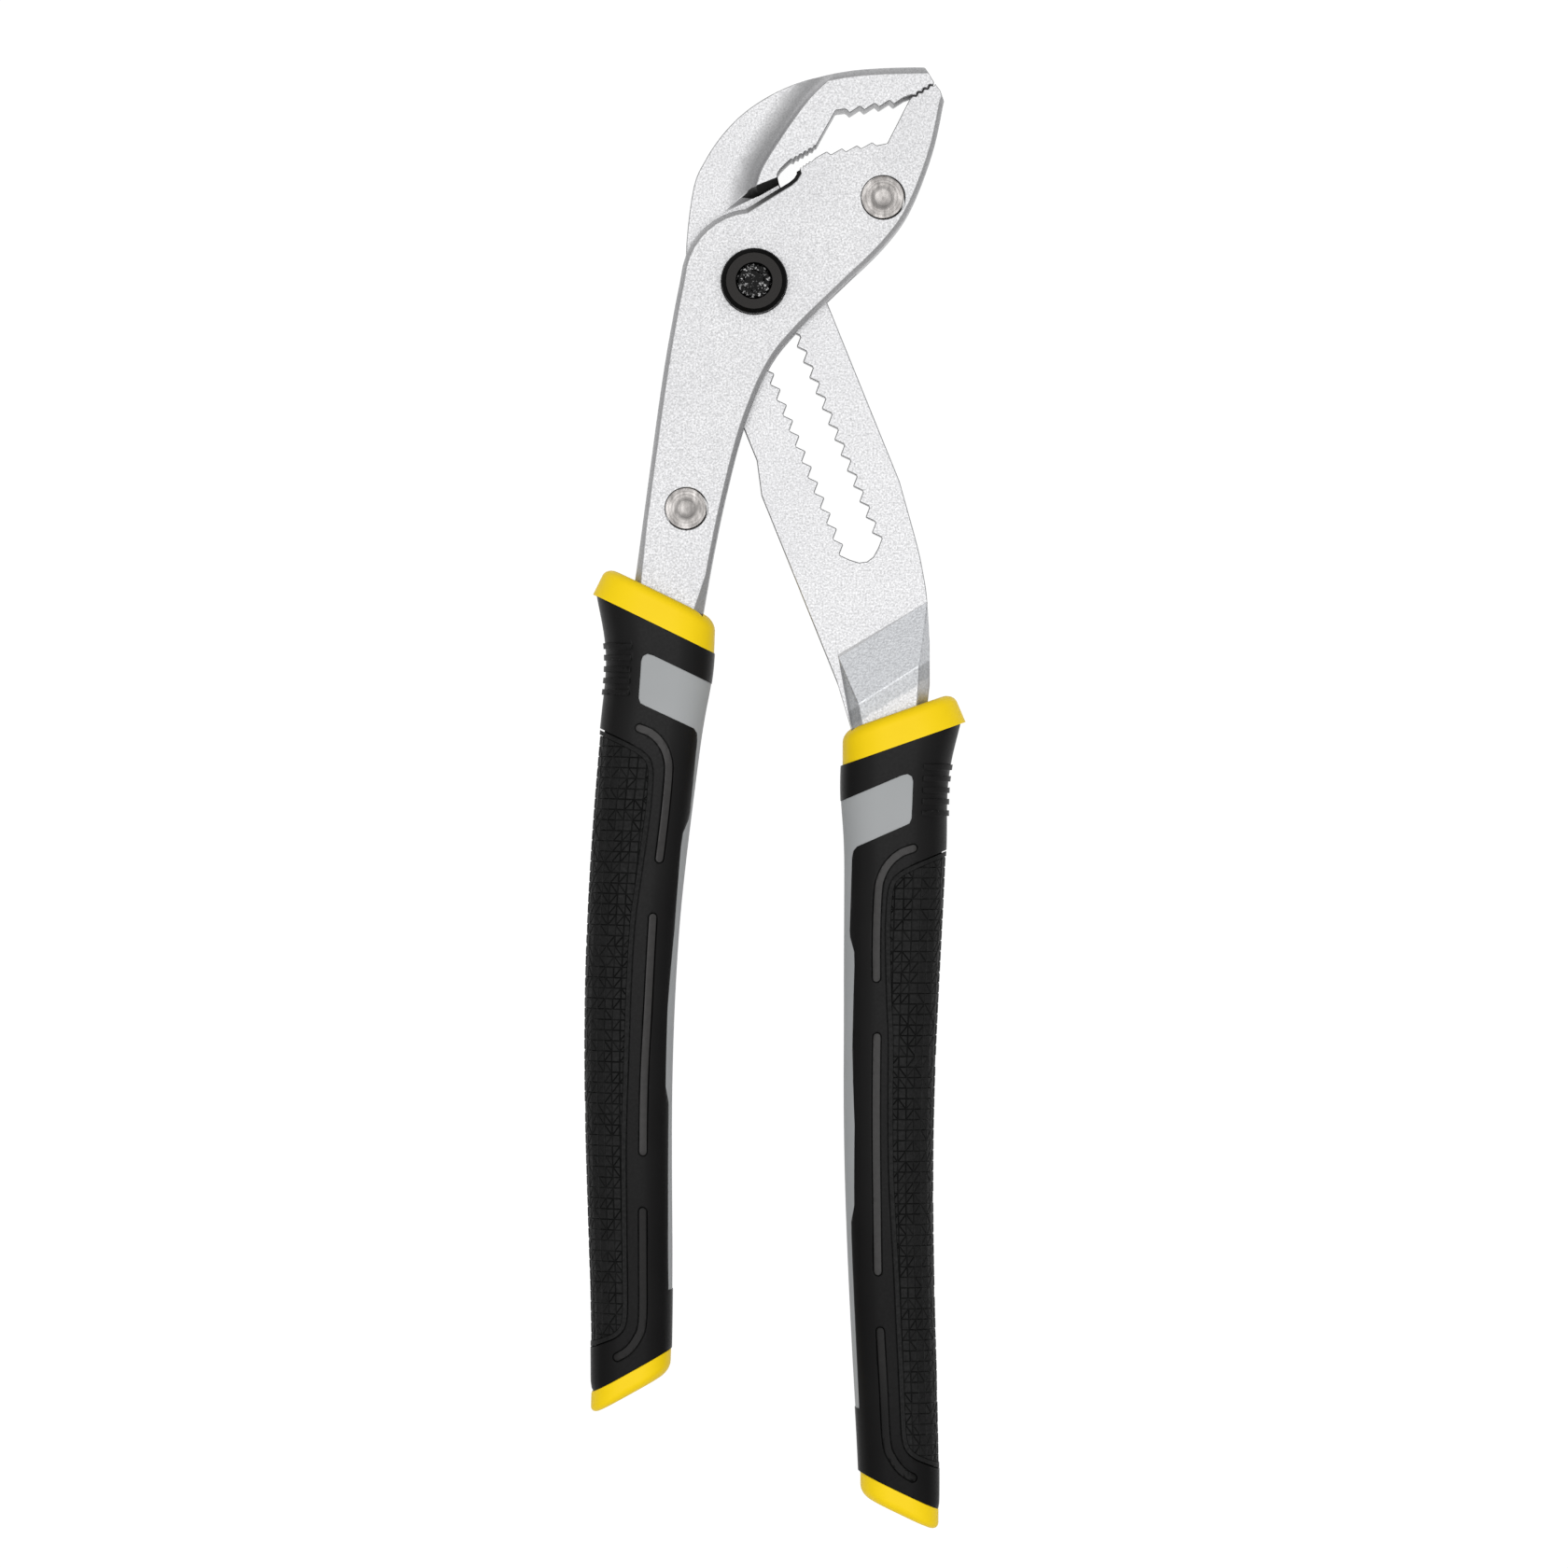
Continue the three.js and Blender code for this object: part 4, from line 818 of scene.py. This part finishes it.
SATIN_BLACK = satin_black()
for side, handle in HANDLES.items():
    sleeve = grip_blank(side + "_grip_sleeve_moulding", handle, 0)
    ridge = grip_blank(side + "_finger_ridges", handle, -RIDGE["proud"])
    bars = None
    for s in RIDGES:
        bpy.ops.object.select_all(action='DESELECT')
        centre = bowed(handle, RIDGE["x"], s) * MM
        bpy.ops.mesh.primitive_cube_add(size=1, location=(centre, -s * MM, 0), scale=RIDGE["size"])
        bpy.ops.object.transform_apply(location=True, rotation=True, scale=True)
        if bars is not None:
            bars.select_set(True)
            bpy.ops.object.join()
        bars = bpy.context.object
    cut(ridge, bars, 'INTERSECT')
    weld(ridge, 0.05)
    ease_edges(ridge, 0.35, steps=3, angle=50, smooth=40)
    cut(sleeve, ridge, 'UNION')
    lean = -handle["side"] * handle["collar"]
    cut(sleeve, half_space("above_collar", COLLAR_S - SPIGOT["rise"], lean, 1))
    step = half_space("step_under_collar", COLLAR_S, lean, 1)
    cut(step, grip_blank("core", handle, SPIGOT["inset"]))
    cut(sleeve, step)
    cut(sleeve, half_space("below_cap", CAP_S - CAP_GAP, handle["side"] * handle["cap"], -1))
    for depth, outline in ((PAD_DEPTH, PAD_OUTLINE), (INSERT_DEPTH, insert_outline(handle))):
        tool = face_cutter("pocket", handle, outline)
        cut(tool, grip_blank("core", handle, depth))
        cut(sleeve, tool)
    for where_on_grip in STRIPS:
        channel = strip_outline(strip_route(handle, where_on_grip), STRIP_WIDTH + 2 * STRIP_GAP)
        tool = face_cutter("channel", handle, channel)
        cut(tool, grip_blank("core", handle, STRIP_DEPTH))
        cut(sleeve, tool)
    weld(sleeve, SLIVER)
    ease_edges(sleeve, 0.2, steps=2, angle=48, smooth=40)
    set_on_handle(sleeve, handle)
    dress(sleeve, SATIN_BLACK)
    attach(sleeve, handle["body"])
    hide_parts(side + "_grip_sleeve")

# Palm pads. A softer black rubber panel wraps the outer side of each handle from front to back. Its face has a
# fine angular moulded grain, with a smooth rim where it meets the sleeve.
PAD_RIM = 0.85
PAD_GAP = 0.3
PAD_SINK = 0.05
PAD_CORE = PAD_DEPTH - 0.1
FIELD_SINK = 0.75
RELIEF = {"sink": 0.40, "core": 0.87, "gap": 0.1}
TILE = 2.15
TILE_ROWS = 67
TILE_START = 15
TILE_EDGE = 0.16
TILE_HEIGHTS = ((0.0, 0.55, 0.2), (0.55, 1.1, 0.11))
SPLIT_SHARE = 0.45


def tiled_skin(name, handle, inset):
    piece = rounded_ring(name, reach=0.999, steps=9, profile=0.6)
    grip_skin(piece, handle, inset, [TILE_START + TILE * k for k in range(TILE_ROWS)])
    alone(piece)
    bpy.ops.object.mode_set(mode='EDIT')
    bpy.ops.mesh.select_mode(type='FACE')
    bpy.ops.object.mode_set(mode='OBJECT')
    chance = random.Random(11)
    for kind in ('FIXED', 'FIXED_ALTERNATE'):
        for face in piece.data.polygons:
            face.select = len(face.vertices) == 4 and chance.random() < SPLIT_SHARE
        bpy.ops.object.mode_set(mode='EDIT')
        bpy.ops.mesh.quads_convert_to_tris(quad_method=kind, ngon_method='BEAUTY')
        bpy.ops.object.mode_set(mode='OBJECT')
    height = [chance.random() for face in piece.data.polygons]
    for low, high, rise in TILE_HEIGHTS:
        for face, share in zip(piece.data.polygons, height):
            face.select = len(face.vertices) <= 4 and low <= share < high
        bpy.ops.object.mode_set(mode='EDIT')
        bpy.ops.mesh.inset(thickness=TILE_EDGE * MM, depth=rise * MM, use_individual=True)
        bpy.ops.object.mode_set(mode='OBJECT')
        height = height + [2.0] * (len(piece.data.polygons) - len(height))
    return piece


def grained_pad():
    material, tree, surface = finish_of("grained_pad_rubber", roughness=0.6, sheen=0.17)
    where = surface_place(tree)
    fine = noise(tree, where, 1500, 3.0, 0.6)
    tree.links.new(ramp(tree, fine, (0.3, grey(0.0045)), (0.7, grey(0.0085))), surface.inputs["Base Color"])
    tree.links.new(ramp(tree, fine, (0.3, grey(0.68)), (0.7, grey(0.5))), surface.inputs["Roughness"])
    bump(tree, surface, fine, strength=0.35, depth=0.06)
    return material


PAD_RUBBER = grained_pad()
for side, handle in HANDLES.items():
    pad = grip_blank(side + "_palm_pad_rubber", handle, PAD_SINK)
    cut(pad, face_cutter("pad_outline", handle, inset_outline(PAD_OUTLINE, PAD_GAP)), 'INTERSECT')
    cut(pad, grip_blank("core", handle, PAD_CORE))
    field = face_cutter("field_outline", handle, inset_outline(PAD_OUTLINE, PAD_GAP + PAD_RIM))
    cut(field, grip_blank("core", handle, FIELD_SINK))
    cut(pad, field)
    weld(pad, SLIVER)
    ease_edges(pad, 0.22, steps=3, angle=48, smooth=40)
    relief = tiled_skin(side + "_pad_relief", handle, RELIEF["sink"])
    within = inset_outline(PAD_OUTLINE, PAD_GAP + PAD_RIM + RELIEF["gap"])
    cut(relief, face_cutter("field_outline", handle, within), 'INTERSECT')
    cut(relief, grip_blank("core", handle, RELIEF["core"]))
    weld(relief, 0.02)
    alone(pad)
    relief.select_set(True)
    bpy.ops.object.join()
    set_on_handle(pad, handle)
    dress(pad, PAD_RUBBER)
    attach(pad, handle["body"])
    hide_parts(side + "_palm_pad")

# Grey inserts. A firm grey plastic panel below the collar runs on as a narrow stripe down the inner side of each
# handle. It is smooth and matte.
INSERT_SINK = 0.12
INSERT_CORE = INSERT_DEPTH - 0.1
GREY_TONES = ((0.3, (0.363, 0.374, 0.379)), (0.7, (0.389, 0.4, 0.407)))


def grey_plastic():
    material, tree, surface = finish_of("grey_plastic", roughness=0.55, sheen=0.13)
    where = surface_place(tree)
    fine = noise(tree, where, 1500, 2.0)
    cloud = noise(tree, where, 45, 3.0)
    tree.links.new(ramp(tree, cloud, *GREY_TONES), surface.inputs["Base Color"])
    bump(tree, surface, fine, strength=0.10, depth=0.03)
    return material


GREY_PLASTIC = grey_plastic()
for side, handle in HANDLES.items():
    insert = grip_blank(side + "_grey_insert_panel", handle, INSERT_SINK)
    cut(insert, face_cutter("insert_outline", handle, insert_outline(handle)), 'INTERSECT')
    cut(insert, grip_blank("core", handle, INSERT_CORE))
    weld(insert, SLIVER)
    ease_edges(insert, 0.14, steps=2, angle=48, smooth=40)
    set_on_handle(insert, handle)
    dress(insert, GREY_PLASTIC)
    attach(insert, handle["body"])
    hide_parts(side + "_grey_insert")

# Inlaid strips. Three slim dark grey strips lie in rounded channels on the front and the back of each sleeve,
# following the pad's edge. They are a little glossier than the rubber, and the lowest are almost black, with painted
# shade darkening them further towards the lower end.
STRIP_SINK = 0.2
STRIP_CORE = 0.85
STRIP_TINT = (1, 0.95, 0.94)


def strip_plastic(name, tone, sheen, painted_shade_fade=None):
    material, tree, surface = finish_of(name, roughness=0.36, sheen=sheen)
    where = surface_place(tree)
    fine = noise(tree, where, 900, 3.0)
    low, high, dark = (tuple(share * tone * c for c in STRIP_TINT) for share in (0.9, 1.15, 0.3))
    colour = ramp(tree, fine, (0.3, low), (0.7, high))
    # Painted shade: below the given Y range the colour darkens towards a third of its tone, in place of the darker
    # reflection lower down.
    if painted_shade_fade is not None:
        start, end = painted_shade_fade
        lower = math_node(tree, 'SUBTRACT', start * MM, along_axes(tree, where)["Y"])
        lower = math_node(tree, 'DIVIDE', lower, (start - end) * MM)
        colour = mix(tree, ramp(tree, lower, (0.0, grey(0)), (1.0, grey(1))), colour, dark)
    tree.links.new(colour, surface.inputs["Base Color"])
    return material


STRIP_PLASTIC = {
    "upper": strip_plastic("strip_plastic_upper", 0.031, 0.2),
    "middle": strip_plastic("strip_plastic_middle", 0.031, 0.2),
    "lower": strip_plastic("strip_plastic_lower_painted_shade", 0.0125, 0.1, (-221, -231)),
}
for side, handle in HANDLES.items():
    for where_on_grip in STRIPS:
        strips = grip_blank("strip_skin", handle, STRIP_SINK)
        route = strip_route(handle, where_on_grip)
        cut(strips, face_cutter("strip", handle, strip_outline(route, STRIP_WIDTH)), 'INTERSECT')
        cut(strips, grip_blank("core", handle, STRIP_CORE))
        for face_of_tool, keep in (("front", -1), ("rear", 1)):
            strip = strips.copy()
            strip.data = strips.data.copy()
            strip.name = f"{side}_inlay_{where_on_grip}_{face_of_tool}_strip"
            bpy.context.scene.collection.objects.link(strip)
            alone(strip)
            bpy.ops.object.mode_set(mode='EDIT')
            bpy.ops.mesh.select_all(action='SELECT')
            bpy.ops.mesh.bisect(plane_co=(0, 0, 0), plane_no=(0, 0, keep), clear_outer=True)
            bpy.ops.object.mode_set(mode='OBJECT')
            weld(strip, 0.05)
            ease_edges(strip, 0.2, steps=2, angle=48, smooth=40)
            set_on_handle(strip, handle)
            dress(strip, STRIP_PLASTIC[where_on_grip])
            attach(strip, handle["body"])
            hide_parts(f"{side}_inlay_{where_on_grip}_{face_of_tool}")
        bpy.data.objects.remove(strips, do_unlink=True)

# Collars and end caps. Yellow rubber is moulded round the steel at the top of each handle as a slanted flange that
# stops the hand, and closes the sleeve's lower end as a slanted cap.
COLLAR = {"middle": -0.42, "width": 12.6, "half": 10.0, "height": 6.9, "round": 2.2}
CAP = {"middle": 0.0, "width": 8.02, "half": 7.72, "height": 4.75, "round": 2.0}
COLLAR_LEAN = 2.6
BORES = {
    "left": ((-22.44, -47.2), (-26.96, -79.2), (-13.53, -85.5), (-7.87, -53.5)),
    "right": ((16.13, -79.0), (25.67, -111.0), (34.68, -103.0), (36.32, -71.0)),
}
BORE_HALF = {"left": 6.7, "right": 5.6}
BORE_GAP = 0.12
YELLOW_TONES = ((0.3, (0.95, 0.655, 0.004)), (0.7, (0.975, 0.69, 0.006)))


def yellow_rubber():
    material, tree, surface = finish_of("yellow_rubber", roughness=0.45, sheen=0.14)
    where = surface_place(tree)
    cloud = noise(tree, where, 70, 3.0)
    fine = noise(tree, where, 1700, 2.0)
    tree.links.new(ramp(tree, cloud, *YELLOW_TONES), surface.inputs["Base Color"])
    bump(tree, surface, fine, strength=0.08, depth=0.03)
    return material


YELLOW = yellow_rubber()


def slanted_slice(name, handle, shape, s, tilt, up):
    piece = rounded_ring(name)
    side, width, tall = handle["side"], shape["width"] * MM, shape["half"] * MM
    middle = Vector((side * shape["middle"] * MM, 0, 0))
    bpy.ops.transform.translate(value=middle)
    bpy.ops.transform.resize(value=(width, 1, tall), center_override=middle)
    rise = Vector((0, up * shape["height"] * MM, 0))
    bpy.ops.mesh.extrude_region_move(TRANSFORM_OT_translate={"value": rise})
    if up > 0:
        inner_end = middle + Vector((side * width, 0, 0))
        shrink = 1 - COLLAR_LEAN / (2 * shape["width"])
        bpy.ops.transform.resize(value=(shrink, 1, 1), center_override=inner_end)
    bpy.ops.mesh.bevel(offset=shape["round"] * MM, segments=6, affect='EDGES')
    bpy.ops.mesh.select_all(action='SELECT')
    bpy.ops.mesh.normals_make_consistent(inside=False)
    bpy.ops.object.mode_set(mode='OBJECT')
    slope = math.tan(math.radians(tilt))
    for vertex in piece.data.vertices:
        vertex.co.y += slope * vertex.co.x - s * MM
    return piece


for side, handle in HANDLES.items():
    collar = slanted_slice(side + "_collar_rubber", handle, COLLAR, COLLAR_S, -handle["side"] * handle["collar"], 1)
    set_on_handle(collar, handle)
    bore = outline_block("bore", BORES[side], BORE_HALF[side] + BORE_GAP)
    bore.location = (0, 0, MID_LEVEL * MM)
    bpy.ops.object.transform_apply(location=True, rotation=True, scale=True)
    cut(collar, bore)
    ease_edges(collar, 0.3, steps=3, angle=40, smooth=50)
    cap = slanted_slice(side + "_end_cap_rubber", handle, CAP, CAP_S, handle["side"] * handle["cap"], -1)
    set_on_handle(cap, handle)
    ease_edges(cap, 0.2, steps=2, angle=50, smooth=50)
    for piece, node in ((collar, "_collar"), (cap, "_end_cap")):
        dress(piece, YELLOW)
        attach(piece, handle["body"])
        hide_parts(side + node)

# Stage. A plain white table under the tool, soft light from a broad overhead panel and a pale studio that darkens
# towards the horizon, and a camera that looks straight down from well above.
SKY_TONES = ((0.0, grey(0.22)), (0.35, grey(0.40)), (0.75, grey(0.92)), (1.0, grey(1.04)))
TABLE_GAP = 0.3
low_corner = Vector(cad_box[0])
bpy.ops.object.select_all(action='DESELECT')
bpy.ops.mesh.primitive_plane_add(size=6, location=(0, -0.1, low_corner.z - TABLE_GAP * MM))
table = bpy.context.object
table.name = "white_table"
material = bpy.data.materials.new("white_table")
material.use_nodes = True
tree = material.node_tree
tree.nodes.clear()
seen = place(tree, "ShaderNodeLightPath")
shown = math_node(tree, 'MAXIMUM', seen.outputs["Is Camera Ray"], seen.outputs["Is Glossy Ray"])
shown = math_node(tree, 'MAXIMUM', shown, seen.outputs["Is Transmission Ray"])
paper = place(tree, "ShaderNodeBsdfDiffuse", Color=(0.8, 0.8, 0.8, 1))
faint = place(tree, "ShaderNodeBsdfDiffuse", Color=(0.12, 0.12, 0.12, 1))
glow = place(tree, "ShaderNodeEmission", Color=(1, 1, 1, 1), Strength=0.95)
both = place(tree, "ShaderNodeAddShader")
tree.links.new(faint.outputs["BSDF"], both.inputs[0])
tree.links.new(glow.outputs["Emission"], both.inputs[1])
pick = place(tree, "ShaderNodeMixShader")
tree.links.new(shown, pick.inputs["Fac"])
tree.links.new(paper.outputs["BSDF"], pick.inputs[1])
tree.links.new(both.outputs["Shader"], pick.inputs[2])
out = place(tree, "ShaderNodeOutputMaterial")
tree.links.new(pick.outputs["Shader"], out.inputs["Surface"])
table.data.materials.append(material)

world = bpy.data.worlds.new("pale_studio")
bpy.context.scene.world = world
world.use_nodes = True
tree = world.node_tree
sky = tree.nodes["Background"]
lift = along_axes(tree, place(tree, "ShaderNodeTexCoord").outputs["Generated"])["Z"]
tree.links.new(ramp(tree, lift, *SKY_TONES), sky.inputs["Color"])
sky.inputs["Strength"].default_value = 1.0

panel = bpy.data.objects.new("overhead_panel", bpy.data.lights.new("overhead_panel", 'AREA'))
panel.data.shape = 'RECTANGLE'
panel.data.size = 1.6
panel.data.size_y = 1.2
panel.data.energy = 16
panel.location = (0.0, -0.1, 2.6)
bpy.context.scene.collection.objects.link(panel)

camera = bpy.data.objects.new("camera", bpy.data.cameras.new("camera"))
camera.data.sensor_width = 36
camera.data.lens = 206.97
camera.data.clip_end = 20
camera.location = (0.00611, -0.10285, 1.8584)
bpy.context.scene.collection.objects.link(camera)
bpy.context.scene.camera = camera
bpy.context.scene.view_settings.view_transform = 'Standard'
